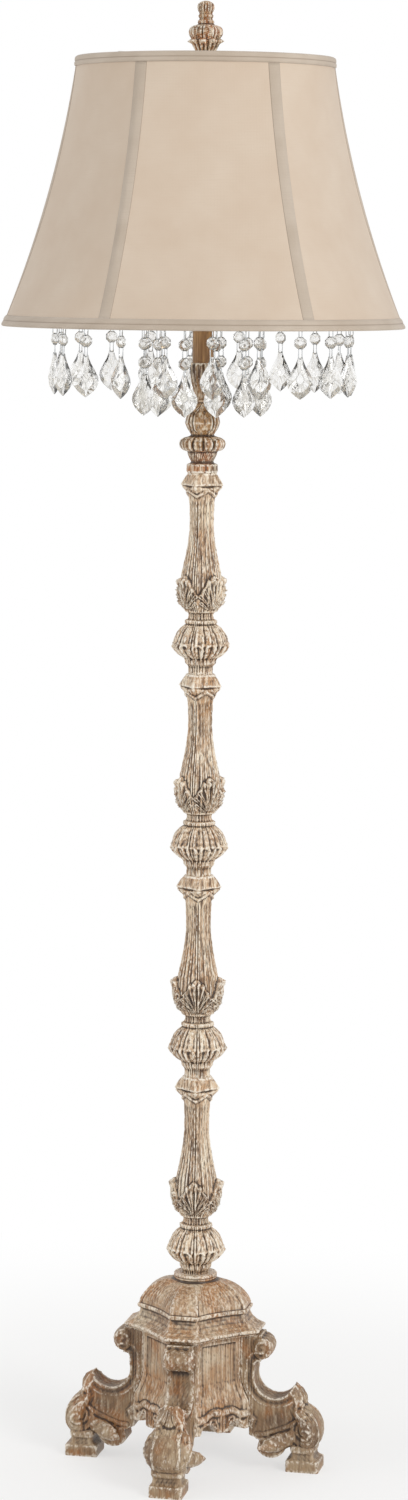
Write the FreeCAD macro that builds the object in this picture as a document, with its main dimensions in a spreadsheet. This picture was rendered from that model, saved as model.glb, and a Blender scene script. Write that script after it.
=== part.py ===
"""Candlestick floor lamp: carved four-legged base, stacked column, candle socket, crystals and a panelled shade.

Units are millimetres. +Z is up and the origin is on the floor, under the middle of the base. The front leg points
along -Y. A turn is an angle about +Z, measured from -Y towards +X, in degrees.
"""

import FreeCAD, Part
import math
import os
from types import SimpleNamespace

import Sketcher
from FreeCAD import Placement, Rotation, Vector

os.makedirs("parts", exist_ok=True)
doc = FreeCAD.newDocument("CandlestickFloorLamp")
sheet = doc.addObject("Spreadsheet::Sheet", "Sizes")

# ---------------------------------------------------------------------------------------------------------------
# Driving dimensions: alias, value, what it is.
# ---------------------------------------------------------------------------------------------------------------
DIMENSIONS = [
    # Lamp pipe and its hardware
    ("pipe_radius", 5.0, "threaded lamp pipe, outside"),
    ("pipe_wall", 1.5, "wall of the lamp pipe"),
    ("pipe_gap", 0.2, "radial gap where a stacked piece slides over the pipe"),
    ("thread_gap", 0.05, "radial gap where a piece is screwed on the pipe"),
    ("nut_height", 7.0, "hexagon nut under the base"),
    ("nut_radius", 9.0, "corner radius of the hexagon nut"),
    ("washer_radius", 14.0, "washer above the nut"),
    ("washer_height", 2.0, "thickness of the washer"),
    ("pipe_tail", 6.0, "pipe left free below the nut"),
    ("bushing_flange_radius", 6.2, "flange of the cord bushing"),
    ("bushing_flange_height", 2.0, "thickness of that flange"),
    ("bushing_sleeve_length", 8.0, "part of the bushing inside the pipe"),
    ("bushing_bore_radius", 2.6, "hole for the cord"),
    ("bushing_gap", 0.1, "gap between the bushing and the pipe's bore"),
    # Base casting
    ("column_bottom", 197.5, "height of the lowest column seam"),
    ("collar_radius", 23.0, "turned collar on top of the dome"),
    ("collar_height", 7.5, "thickness of the collar"),
    ("socket_depth", 6.0, "depth of the column's seat in the collar"),
    ("seat_gap", 0.3, "radial gap around a spigot in its seat"),
    ("dome_height", 26.0, "rise of the dome"),
    ("dome_radius", 60.0, "corner face of the dome at its rim"),
    ("dome_corner", 15.0, "half width of that corner face"),
    ("dome_top_radius", 30.0, "corner face where the dome meets the collar"),
    ("wide_face_sag", 4.0, "how far the wide faces curve in"),
    ("roll_height", 4.5, "roll moulding under the dome"),
    ("cove_height", 16.5, "cove between the roll and the cornice"),
    ("cove_waist", 57.0, "corner face at the top of the cove"),
    ("cornice_radius", 74.0, "corner face of the cornice"),
    ("cornice_corner", 18.0, "half width of that corner face"),
    ("cornice_height", 3.0, "thickness of the cornice edge"),
    ("step_radius", 70.0, "corner face of the step below the cornice"),
    ("step_height", 3.0, "thickness of the step"),
    ("body_radius", 53.0, "corner face of the panelled body"),
    ("body_corner", 16.0, "half width of that corner face"),
    ("body_height", 48.0, "straight part of the panelled body"),
    ("flare_height", 23.0, "flared part below it"),
    ("apron_radius", 63.0, "corner face of the apron"),
    ("apron_height", 28.0, "depth of the apron"),
    ("apron_arch_width", 20.0, "arches cut in the lower edge of the apron"),
    ("apron_arch_rise", 10.0, "height of those arches"),
    ("apron_pendant", 7.0, "half width of the pendant between two arches"),
    ("panel_half_width", 19.0, "recessed field of a wide face"),
    ("panel_margin", 6.0, "frame above and below the recessed field"),
    ("panel_depth", 2.0, "depth of the recessed field"),
    ("cavity_radius", 40.5, "hollow inside the base"),
    ("cavity_roof", 149.0, "height of the hollow's roof"),
    ("weight_radius", 38.0, "cast-iron counterweight"),
    ("weight_height", 30.0, "height of the counterweight"),
    # Scroll legs
    ("leg_width", 28.0, "thickness of a scroll leg"),
    ("volute_centre", 76.0, "radius of the upper volute's centre"),
    ("volute_radius", 12.0, "upper volute"),
    ("volute_width", 30.0, "length of the upper volute's roll"),
    ("leg_waist", 69.0, "outside of the leg under the upper volute"),
    ("spur_radius", 111.0, "tip of the spur, out from the axis"),
    ("spur_height", 90.5, "tip of the spur, above the floor"),
    ("scroll_low", 76.5, "lowest point of the C-scroll's hollow"),
    ("notch_radius", 122.0, "notch between the spur and the lower volute"),
    ("notch_height", 67.0, "height of that notch"),
    ("foot_reach", 140.5, "furthest point of the lower volute"),
    ("foot_reach_height", 42.0, "height of that point"),
    ("pendant_low", 12.0, "lowest point of the leaf under the leg"),
    ("knee_radius", 25.5, "carved leaf around the lower volute"),
    ("knee_height", 49.0, "height of the widest part of that leaf"),
    ("knee_top", 82.0, "top of that leaf"),
    ("foot_radius", 121.5, "centre of the square foot"),
    ("foot_width", 36.0, "side of the square foot"),
    ("foot_height", 12.0, "height of the square block"),
    ("foot_cavetto", 8.0, "hollow moulding above the block"),
    ("neck_height", 7.0, "roll above the hollow moulding"),
    ("neck_depth", 26.0, "neck of the foot, along the leg"),
    ("neck_width", 34.0, "neck of the foot, across the leg"),
    # Column sections: heights are measured down from the top of a section
    ("section_pitch", 216.9, "height of one column section"),
    ("head_ring_radius", 17.8, "turned ring on top of a section"),
    ("head_ring_height", 4.3, "height of that ring"),
    ("capital_radius", 17.0, "capital"),
    ("capital_drop", 26.0, "bottom of the capital"),
    ("capital_tip_radius", 23.2, "corner tips of the capital"),
    ("capital_tip_drop", 12.5, "height of those tips"),
    ("capital_tip_width", 9.0, "thickness of a corner tip"),
    ("shaft_radius", 13.0, "waist of the shaft"),
    ("shaft_waist_drop", 58.0, "bottom of the waist"),
    ("shaft_foot_radius", 20.0, "shaft where it leaves the leaf cup"),
    ("cup_rim_drop", 112.0, "rim of the leaf cup"),
    ("cup_radius", 27.0, "leaf cup"),
    ("cup_belly_drop", 129.5, "end of the cup's full width"),
    ("cup_foot_radius", 17.0, "foot of the leaf cup"),
    ("cup_foot_drop", 148.0, "height of that foot"),
    ("leaf_tip_radius", 30.8, "curled tips of the leaves"),
    ("leaf_width", 14.0, "width of a curled tip"),
    ("neck_drop", 154.5, "neck under the leaf cup"),
    ("bead_radius", 17.3, "ring above the ball"),
    ("bead_drop", 160.5, "height of that ring"),
    ("bead_height", 4.0, "thickness of that ring"),
    ("ball_radius", 31.6, "gadrooned ball"),
    ("ball_drop", 183.4, "middle of the ball"),
    ("ball_foot_drop", 204.0, "foot of the ball"),
    ("ball_foot_radius", 15.6, "foot of the ball"),
    ("spigot_radius", 13.5, "neck at the bottom of a section"),
    # Candle cup on top of the column: heights are measured up from its seat
    ("knob_ring_radius", 16.7, "ring under the petal crown"),
    ("knob_ring_height", 10.8, "height of that ring"),
    ("crown_radius", 25.4, "petal crown"),
    ("crown_height", 30.2, "height of its widest part"),
    ("crown_neck_radius", 11.9, "neck above the crown"),
    ("crown_neck_height", 40.5, "height of that neck"),
    ("knob_radius", 19.4, "gadrooned knob"),
    ("knob_height", 54.0, "middle of the knob"),
    ("cup_neck_radius", 6.8, "neck between the knob and the tulip cup"),
    ("cup_neck_height", 76.0, "height of that neck"),
    ("cup_wall", 1.6, "wall of the tulip cup"),
    ("cup_floor_height", 101.0, "floor of the tulip cup"),
    ("cup_top_height", 118.7, "rim of the tulip cup"),
    ("sleeve_radius", 11.5, "candle sleeve, outside"),
    ("sleeve_wall", 1.2, "wall of the candle sleeve"),
    ("sleeve_gap", 0.2, "radial gap around the candle sleeve"),
    ("sleeve_length", 79.0, "length of the candle sleeve"),
    # Crystal frame and crystals
    ("hub_radius", 14.0, "washer that carries the crystal frame"),
    ("strip_size", 2.0, "square wire of the crystal frame"),
    ("spoke_width", 3.0, "width of a spoke"),
    ("frame_drop", 13.0, "fall of the spokes from the washer to the rings"),
    ("outer_tier_radius", 160.0, "outer ring of crystals"),
    ("inner_tier_radius", 65.0, "inner ring of crystals"),
    ("link_wire", 1.2, "wire of the links"),
    ("link_width", 6.4, "width of a link, and of the round hook above the first bead"),
    ("crystal_gap", 0.3, "gap between a link and a crystal"),
    ("bead_width", 14.0, "octagonal bead"),
    ("bead_depth", 6.0, "thickness of a bead"),
    ("pendant_width", 26.0, "leaf-shaped pendant"),
    ("pendant_depth", 8.0, "thickness of a pendant"),
    ("pendant_length", 45.0, "length of a pendant"),
    ("outer_bead_drop", 24.5, "from the frame wire to the outer bead's middle"),
    ("outer_pendant_drop", 39.0, "from the frame wire to the top of the outer pendant"),
    ("inner_bead_drop", 29.0, "from the frame wire to the first inner bead"),
    ("inner_bead_pitch", 20.3, "between the two inner beads"),
    ("inner_pendant_drop", 61.2, "from the frame wire to the top of the inner pendant"),
    # Socket, switch and bulb
    ("saddle_thickness", 2.0, "sheet of the harp saddle"),
    ("saddle_width", 10.0, "width of the harp saddle"),
    ("cap_radius", 16.5, "socket cap"),
    ("cap_neck_radius", 8.0, "neck of the socket cap"),
    ("cap_neck_height", 5.0, "height of that neck"),
    ("cap_shoulder", 4.0, "sloping shoulder of the socket cap"),
    ("cap_height", 20.0, "height of the socket cap"),
    ("cap_wall", 1.6, "wall of the socket cap"),
    ("shell_gap", 0.2, "gap between the shell and the cap"),
    ("shell_floor", 12.0, "insulator at the bottom of the shell"),
    ("shell_wall", 1.0, "wall of the socket shell"),
    ("shell_height", 52.0, "length of the socket shell"),
    ("boss_radius", 5.0, "boss that carries the switch"),
    ("boss_reach", 22.0, "end of that boss, out from the axis"),
    ("boss_height", 25.0, "height of the switch above the shell's bottom"),
    ("stem_radius", 2.2, "stem of the switch"),
    ("stem_gap", 0.06, "running gap around the stem"),
    ("switch_knob_radius", 6.0, "turn knob of the switch"),
    ("switch_knob_length", 11.0, "length of the turn knob"),
    ("bulb_base_radius", 13.4, "screw base of the bulb"),
    ("bulb_seat", 0.3, "gap under the bulb"),
    ("bulb_base_height", 41.0, "height of the screw base and neck"),
    ("bulb_radius", 19.0, "glass of the bulb"),
    ("bulb_length", 110.0, "whole bulb"),
    # Harp
    ("harp_strip", 3.4, "square wire of the harp"),
    ("harp_foot", 28.0, "harp's ends, out from the axis"),
    ("harp_half_width", 57.0, "harp at its widest"),
    ("harp_post_radius", 2.5, "posts of the saddle"),
    ("harp_collar", 1.4, "collar around the lower half of a post"),
    ("harp_post_height", 22.0, "posts above the saddle"),
    ("harp_straight", 24.0, "straight ends of the harp's wire"),
    ("harp_swell", 58.0, "height of the bend to full width"),
    ("harp_top", 1507.0, "middle of the wire at the top of the harp"),
    ("harp_seat_radius", 4.5, "seat under the stud"),
    ("ferrule_gap", 0.1, "running gap between a ferrule and its post"),
    ("ferrule_wall", 1.2, "wall of a ferrule"),
    ("ferrule_seat", 0.2, "gap between a ferrule and the collar of its post"),
    ("ferrule_length", 15.0, "length of a ferrule"),
    ("stud_radius", 3.0, "stud for the finial"),
    ("stud_length", 18.0, "length of the stud above the shade's washer"),
    # Shade
    ("shade_top", 1516.0, "top edge of the shade"),
    ("shade_bottom", 1218.0, "bottom edge of the shade"),
    ("shade_top_radius", 140.0, "shade at its top edge"),
    ("shade_middle_radius", 168.0, "shade half way down"),
    ("shade_bottom_radius", 213.5, "shade at its bottom edge"),
    ("fabric_thickness", 1.0, "shade fabric on its backing"),
    ("trim_thickness", 1.2, "braid trim"),
    ("trim_gap", 0.1, "glue line under the trim"),
    ("trim_height", 13.0, "top and bottom trim"),
    ("seam_trim_width", 13.0, "trim over a seam"),
    ("shade_wire", 3.0, "square wire of the shade frame"),
    ("wire_gap", 0.4, "gap between the frame and the fabric"),
    ("spider_hub_radius", 9.0, "washer in the middle of the spider"),
    ("spider_thickness", 2.0, "thickness of that washer"),
    ("hub_bore_gap", 0.4, "gap around the stud in that washer"),
    ("spider_gap", 0.1, "weld gap between the washer and an arm"),
    # Finial: heights are measured up from its seat
    ("finial_foot_radius", 9.0, "foot of the finial"),
    ("finial_leaf_radius", 17.0, "leaves under the finial's bulb"),
    ("finial_leaf_tip", 20.5, "tips of those leaves"),
    ("finial_leaf_height", 13.5, "height of the leaf tips"),
    ("finial_bulb_radius", 18.0, "bulb of the finial"),
    ("finial_bulb_height", 27.0, "middle of that bulb"),
    ("finial_neck_radius", 7.0, "neck of the finial"),
    ("finial_neck_height", 34.0, "height of the neck"),
    ("finial_ring_radius", 8.6, "rings on the neck"),
    ("finial_ring_height", 1.8, "thickness of those rings"),
    ("finial_top_radius", 9.0, "top knob of the finial"),
    ("finial_height", 60.5, "whole finial"),
    ("finial_bore_depth", 21.0, "threaded hole in the finial"),
    ("finial_seat", 0.3, "gap between the finial and the spider's washer"),
    ("finial_thread_gap", 0.08, "running gap on the stud"),
]


class Size:
    """A size that knows its value and the spreadsheet formula that gives it."""

    def __init__(self, value, formula):
        self.value = float(value)
        self.formula = formula

    def __float__(self):
        return self.value

    def __neg__(self):
        return Size(-self.value, f"(-1 * {self.formula})")

    def __add__(self, other):
        other = as_size(other)
        return Size(self.value + other.value, f"({self.formula} + {other.formula})")

    def __sub__(self, other):
        other = as_size(other)
        return Size(self.value - other.value, f"({self.formula} - {other.formula})")

    def __mul__(self, other):
        other = as_size(other)
        return Size(self.value * other.value, f"({self.formula} * {other.formula})")

    def __truediv__(self, other):
        other = as_size(other)
        return Size(self.value / other.value, f"({self.formula} / {other.formula})")

    def __radd__(self, other):
        return as_size(other) + self

    def __rsub__(self, other):
        return as_size(other) - self

    def __rmul__(self, other):
        return as_size(other) * self


def as_size(amount):
    """Return a number as a Size, and a Size as it is."""
    if isinstance(amount, Size):
        return amount
    return Size(amount, f"({float(amount)!r})")


def fill_sheet():
    """Write the driving dimensions to the spreadsheet and return them by name."""
    named = {}
    for row, (alias, value, note) in enumerate(DIMENSIONS, start=1):
        sheet.set(f"A{row}", note)
        sheet.set(f"B{row}", str(value))
        sheet.setAlias(f"B{row}", alias)
        named[alias] = Size(value, f"Sizes.{alias}")
    return SimpleNamespace(**named)


size = fill_sheet()
doc.recompute()

# ---------------------------------------------------------------------------------------------------------------
# Numbers that count or turn things
# ---------------------------------------------------------------------------------------------------------------
# Swelling side of the dome: share of its height, share of the way out from the collar to the rim
DOME_PROFILE = ((0.0, 1.0), (0.25, 0.9), (0.5, 0.74), (0.75, 0.5), (0.92, 0.22), (1.0, 0.0))
LEG_TURNS = {"front": 0, "right": 90, "back": 180, "left": 270}
SECTION_TURNS = {  # section: turn of the leaves, turn of the capital's corners
    1: (50.0, -8.0),
    2: (41.5, -8.0),
    3: (9.0, 11.0),
    4: (6.0, 8.0),
}
OUTER_STRINGS = 20
OUTER_FIRST_TURN = -2.0
INNER_STRINGS = 12
INNER_FIRST_TURN = -5.0
SPOKES = 4
SPOKE_FIRST_TURN = 43.0
SHADE_SIDES = 6
PANEL_PARTS = 2  # each panel's fabric is two strips, split down its middle
RING_PARTS = 12  # each ring of the frame is butt-welded from short arcs
SHADE_SEAM_TURN = -15.0
SPIDER_ARMS = 3
FINIAL_LEAVES = 8
KNEE_LOBES = 6
KNEE_GROOVE = 0.94
GADROONS = 12
GADROON_GROOVE = 0.93
CUP_LEAVES = 8
CUP_GROOVE = 0.95
SHAFT_FLUTES = 8
FLUTE_GROOVE = 0.9
CROWN_PETALS = 12
CROWN_GROOVE = 0.92
GRIP_RIBS = 8
GRIP_GROOVE = 0.9
# A quarter of the harp's bend: how far its arc has gone across and up half way along
BEND_ACROSS = 0.264
BEND_UP = 0.559
HALF_WAY_ROUND = math.sqrt(0.5)
FULL_TURN = 360.0


def direction_angle(turn):
    """Angle from +X for a turn measured from -Y towards +X."""
    return turn - 90.0


# ---------------------------------------------------------------------------------------------------------------
# Helpers
# ---------------------------------------------------------------------------------------------------------------
def bind(item, name, amount):
    """Tie a property of an object to a size."""
    item.setExpression(name, as_size(amount).formula)


def place(item, height=None, turn=0.0):
    """Stand an object at a height, turned about +Z."""
    item.Placement = Placement(Vector(), Rotation(Vector(0, 0, 1), turn))
    if height is not None:
        bind(item, "Placement.Base.z", height)


def origin_feature(body, role):
    """Find one of a body's own planes or axes by its role."""
    return next(item for item in body.Origin.OriginFeatures if item.Role == role)


def add_body(name):
    body = doc.addObject("PartDesign::Body", name)
    body.Label = name
    return body


def add_sketch(body, name, role, height=None, turn=0.0):
    """Start a sketch on a body's plane, lifted by a height or turned about the body's Z axis."""
    sketch = body.newObject("Sketcher::SketchObject", name)
    sketch.AttachmentSupport = [(origin_feature(body, role), "")]
    sketch.MapMode = "FlatFace"
    if turn:
        sketch.AttachmentOffset = Placement(Vector(), Rotation(Vector(0, 1, 0), turn))
    if height is not None:
        bind(sketch, "AttachmentOffset.Base.z", height)
    return sketch


def pin_point(sketch, geometry, end, spot):
    """Hold one point of a sketch at a spot given by two sizes."""
    for kind, amount in (("DistanceX", spot[0]), ("DistanceY", spot[1])):
        amount = as_size(amount)
        index = sketch.addConstraint(Sketcher.Constraint(kind, -1, 1, geometry, end, amount.value))
        sketch.setExpression(f"Constraints[{index}]", amount.formula)


def flat(spot):
    return Vector(float(spot[0]), float(spot[1]), 0)


def draw_outline(sketch, corners):
    """Draw a closed outline. A corner is (x, y), or (x, y, bend) where an arc through bend leads to it."""
    ends = []
    for index, corner in enumerate(corners):
        start = flat(corners[index - 1])
        stop = flat(corner)
        if len(corner) == 3:
            edge = Part.Arc(start, flat(corner[2]), stop)
        else:
            edge = Part.LineSegment(start, stop)
        geometry = sketch.addGeometry(edge, False)
        first_is_start = sketch.getPoint(geometry, 1).distanceToPoint(start) < 1e-6
        ends.append((geometry, 1, 2) if first_is_start else (geometry, 2, 1))
    for index, corner in enumerate(corners):
        geometry, _, stop_end = ends[index]
        following, start_end, _ = ends[(index + 1) % len(ends)]
        sketch.addConstraint(Sketcher.Constraint("Coincident", geometry, stop_end, following, start_end))
        pin_point(sketch, geometry, stop_end, corner)
        if len(corner) == 3:
            bend = sketch.addGeometry(Part.Point(flat(corner[2])), True)
            sketch.addConstraint(Sketcher.Constraint("PointOnObject", bend, 1, geometry))
            pin_point(sketch, bend, 1, corner[2])


def draw_circle(sketch, radius, centre=(0, 0)):
    """Draw a circle of a given radius."""
    circle = Part.Circle(flat(centre), Vector(0, 0, 1), float(radius))
    geometry = sketch.addGeometry(circle, False)
    pin_point(sketch, geometry, 3, centre)
    index = sketch.addConstraint(Sketcher.Constraint("Radius", geometry, float(radius)))
    sketch.setExpression(f"Constraints[{index}]", as_size(radius).formula)


def draw_rectangle(sketch, low, high):
    draw_outline(sketch, [(high[0], low[1]), (high[0], high[1]), (low[0], high[1]), (low[0], low[1])])


def revolve(body, name, corners, role="XZ_Plane"):
    """Turn a profile around the body's Z axis."""
    sketch = add_sketch(body, f"{name}_profile", role)
    draw_outline(sketch, corners)
    feature = body.newObject("PartDesign::Revolution", name)
    feature.Profile = sketch
    feature.ReferenceAxis = (sketch, ["V_Axis"])
    feature.Angle = FULL_TURN
    doc.recompute()
    return feature


def pad(body, name, sketch, length, symmetric=False):
    feature = body.newObject("PartDesign::Pad", name)
    feature.Profile = sketch
    if symmetric:
        feature.SideType = "Symmetric"
    bind(feature, "Length", length)
    doc.recompute()
    return feature


def pocket(body, name, sketch, length, symmetric=False, reverse=False):
    """Cut a sketch out of a body, and make sure that it removed material."""
    before = body.Shape.Volume
    feature = body.newObject("PartDesign::Pocket", name)
    feature.Profile = sketch
    if symmetric:
        feature.SideType = "Symmetric"
    feature.Reversed = reverse
    bind(feature, "Length", length)
    doc.recompute()
    if not body.Shape.Volume < before:
        raise RuntimeError(f"{name} cut nothing")
    return feature


def around(body, name, features, count, angle=FULL_TURN):
    """Repeat features around the body's Z axis."""
    pattern = body.newObject("PartDesign::PolarPattern", name)
    pattern.Originals = features
    pattern.Axis = (origin_feature(body, "Z_Axis"), [""])
    pattern.Angle = angle
    pattern.Occurrences = count
    body.Tip = pattern
    doc.recompute()
    return pattern


def ruled_loft(body, name, sketches):
    """Join sketches by straight-lined faces."""
    doc.recompute()
    feature = body.newObject("PartDesign::AdditiveLoft", name)
    feature.Profile = sketches[0]
    feature.Sections = sketches[1:]
    feature.Ruled = True
    doc.recompute()
    return feature


def carved_loft(body, name, levels, lobes, groove=1.0, turn=0.0, centre=0.0):
    """Carved form with ridges and grooves around it.

    A level is (height, radius of the ridges); groove is the grooves' share of that radius. The form stands on the
    Z axis or, with a centre, at that distance along +X.
    """
    sketches = []
    for index, (height, radius) in enumerate(levels):
        sketch = add_sketch(body, f"{name}_{index}", "XY_Plane", height)
        corners = []
        for step in range(2 * lobes):
            angle = math.radians(turn) + math.pi * step / lobes
            reach = radius * (groove if step % 2 else 1.0)
            corners.append((centre + reach * math.cos(angle), reach * math.sin(angle)))
        draw_outline(sketch, corners)
        sketches.append(sketch)
    return ruled_loft(body, name, sketches)


def disc(body, name, bottom, radius, height):
    """Plain turned ring or neck."""
    sketch = add_sketch(body, f"{name}_circle", "XY_Plane", bottom)
    draw_circle(sketch, radius)
    return pad(body, name, sketch, height)


def bulge(low, high, radius, waist, bands):
    """Levels of a rounded belly: the waist's radius at both ends and the full radius half way."""
    levels = []
    for band in range(bands + 1):
        angle = math.pi * (band / bands - 0.5) * 0.8
        share = (math.cos(angle) - math.cos(0.4 * math.pi)) / (1 - math.cos(0.4 * math.pi))
        rise = 0.5 + math.sin(angle) / math.sin(0.4 * math.pi) / 2
        levels.append((low + (high - low) * rise, waist + (radius - waist) * share))
    return levels


def drop(depth):
    """Height above a section's bottom for a depth below its top."""
    return size.section_pitch - depth


def add_shape(name, shape, height=0.0, turn=0.0):
    """Add a piece whose shape is worked out from the sheet's values."""
    feature = doc.addObject("Part::Feature", name)
    feature.Label = name
    feature.Shape = shape
    feature.Placement = Placement(Vector(0, 0, float(height)), Rotation(Vector(0, 0, 1), turn))
    return feature


def face_of(points):
    """Flat face through a closed ring of points."""
    return Part.Face(Part.makePolygon([*points, points[0]]))


pipe_bore = size.pipe_radius - size.pipe_wall
stack_bore = size.pipe_radius + size.pipe_gap
thread_bore = size.pipe_radius + size.thread_gap

# Heights of the stack, from the floor up
dome_top = size.column_bottom + size.socket_depth - size.collar_height
dome_bottom = dome_top - size.dome_height
cove_top = dome_bottom - size.roll_height
cove_bottom = cove_top - size.cove_height
cornice_bottom = cove_bottom - size.cornice_height
body_top = cornice_bottom - size.step_height
body_bottom = body_top - size.body_height
flare_bottom = body_bottom - size.flare_height
apron_bottom = flare_bottom - size.apron_height
weight_bottom = size.cavity_roof - size.weight_height
washer_bottom = weight_bottom - size.washer_height
nut_bottom = washer_bottom - size.nut_height
pipe_bottom = nut_bottom - size.pipe_tail
column_top = size.column_bottom + size.section_pitch * len(SECTION_TURNS)
sleeve_bottom = column_top + size.cup_floor_height
sleeve_top = sleeve_bottom + size.sleeve_length
hub_top = sleeve_top + size.strip_size
saddle_top = hub_top + size.saddle_thickness
cap_floor = size.cap_neck_height + size.cap_shoulder + size.cap_wall / 2
pipe_top = saddle_top + cap_floor
shell_bottom = saddle_top + cap_floor + size.shell_gap
tier_height = hub_top - size.strip_size / 2 - size.frame_drop
harp_arch = size.harp_top - size.harp_half_width
shade_seat = size.shade_top - size.shade_wire - size.spider_thickness / 4


# ---------------------------------------------------------------------------------------------------------------
# Base casting
# ---------------------------------------------------------------------------------------------------------------
def base_outline(sketch, radius, corner, sag):
    """Four narrow corner faces across the axes, joined by wide faces that may curve in by a sag."""
    inset = (radius + corner) / 2 - sag / math.sqrt(2)
    curved = float(sag) > 0
    corners = []
    for x_sign, y_sign in ((1, -1), (1, 1), (-1, 1), (-1, -1)):
        on_x = (x_sign * radius, y_sign * corner)
        on_y = (x_sign * corner, y_sign * radius)
        bend = (x_sign * inset, y_sign * inset)
        first, second = (on_y, on_x) if x_sign * y_sign < 0 else (on_x, on_y)
        corners.append(first)
        corners.append((*second, bend) if curved else second)
    draw_outline(sketch, corners)


def base_loft(body, name, levels, sag):
    """Loft through outlines given as (height, radius, corner)."""
    sketches = []
    for index, (height, radius, corner) in enumerate(levels):
        sketch = add_sketch(body, f"{name}_{index}", "XY_Plane", height)
        base_outline(sketch, radius, corner, sag)
        sketches.append(sketch)
    return ruled_loft(body, name, sketches)


def base_slab(body, name, bottom, radius, corner, height, sag):
    sketch = add_sketch(body, f"{name}_outline", "XY_Plane", bottom)
    base_outline(sketch, radius, corner, sag)
    return pad(body, name, sketch, height)


def corner_at(radius):
    """Half width of a corner face that narrows with the dome."""
    return size.dome_corner * radius / size.dome_radius


def build_base_body():
    body = add_body("base_body")
    straight = as_size(0)
    sag = size.wide_face_sag

    lower = [
        (apron_bottom, size.apron_radius, size.body_corner),
        (flare_bottom, size.apron_radius, size.body_corner),
        (body_bottom, size.body_radius, size.body_corner),
        (body_top, size.body_radius, size.body_corner),
    ]
    base_loft(body, "panelled_body", lower, straight)
    base_slab(body, "step", body_top, size.step_radius, size.body_corner, size.step_height, sag)
    base_slab(body, "cornice", cornice_bottom, size.cornice_radius, size.cornice_corner, size.cornice_height, sag)

    cove_reach = size.cornice_radius - size.cove_waist
    cove_mid_corner = (size.dome_corner + size.cornice_corner) / 2
    cove = [
        (cove_bottom, size.cornice_radius, size.cornice_corner),
        (cove_bottom + size.cove_height * 0.25, size.cove_waist + cove_reach * 0.45, cove_mid_corner),
        (cove_bottom + size.cove_height * 0.6, size.cove_waist + cove_reach * 0.1, size.dome_corner),
        (cove_top, size.cove_waist, size.dome_corner),
    ]
    base_loft(body, "cove", cove, sag)
    base_slab(body, "roll", cove_top, size.dome_radius, size.dome_corner, size.roll_height, sag)

    dome = []
    for rise, share in DOME_PROFILE:
        radius = size.dome_top_radius + (size.dome_radius - size.dome_top_radius) * share
        dome.append((dome_bottom + size.dome_height * rise, radius, corner_at(radius)))
    base_loft(body, "dome", dome, sag)

    collar = add_sketch(body, "collar_circle", "XY_Plane", dome_top)
    draw_circle(collar, size.collar_radius)
    pad(body, "collar", collar, size.collar_height)

    cavity = add_sketch(body, "cavity_circle", "XY_Plane", apron_bottom)
    draw_circle(cavity, size.cavity_radius)
    pocket(body, "cavity", cavity, size.cavity_roof - apron_bottom, reverse=True)
    bore = add_sketch(body, "bore_circle", "XY_Plane", size.cavity_roof)
    draw_circle(bore, stack_bore)
    pocket(body, "bore", bore, size.column_bottom - size.cavity_roof, reverse=True)
    seat = add_sketch(body, "seat_circle", "XY_Plane", size.column_bottom)
    draw_circle(seat, size.spigot_radius + size.seat_gap)
    pocket(body, "column_seat", seat, size.socket_depth, reverse=True)

    # Two arches with a pendant between them, cut through opposite aprons, then repeated a quarter turn on
    across = 2 * size.apron_radius
    arches = []
    for side, sign in (("left", -1), ("right", 1)):
        near = sign * size.apron_pendant
        far = sign * (size.apron_pendant + size.apron_arch_width)
        crown = (sign * (size.apron_pendant + size.apron_arch_width / 2), apron_bottom + size.apron_arch_rise)
        arch = add_sketch(body, f"arch_{side}", "XZ_Plane", turn=45.0)
        draw_outline(arch, [(near, apron_bottom - 1), (near, apron_bottom), (far, apron_bottom, crown),
                            (far, apron_bottom - 1)])
        arches.append(pocket(body, f"apron_arch_{side}", arch, 2 * across, symmetric=True))
    around(body, "apron_arches", arches, 2, 180.0)

    wide_face = (size.body_radius + size.body_corner) / math.sqrt(2)
    field_low = body_bottom + size.panel_margin
    field_high = body_top - size.panel_margin
    field = add_sketch(body, "field_plan", "XY_Plane")
    field.AttachmentOffset = Placement(Vector(0, 0, float(field_low)), Rotation(Vector(0, 0, 1), 45.0))
    bind(field, "AttachmentOffset.Base.z", field_low)
    draw_rectangle(field, (wide_face - size.panel_depth, -size.panel_half_width),
                   (wide_face + size.panel_depth, size.panel_half_width))
    cut = pocket(body, "recessed_field", field, field_high - field_low, reverse=True)
    around(body, "recessed_fields", [cut], 4)


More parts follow.
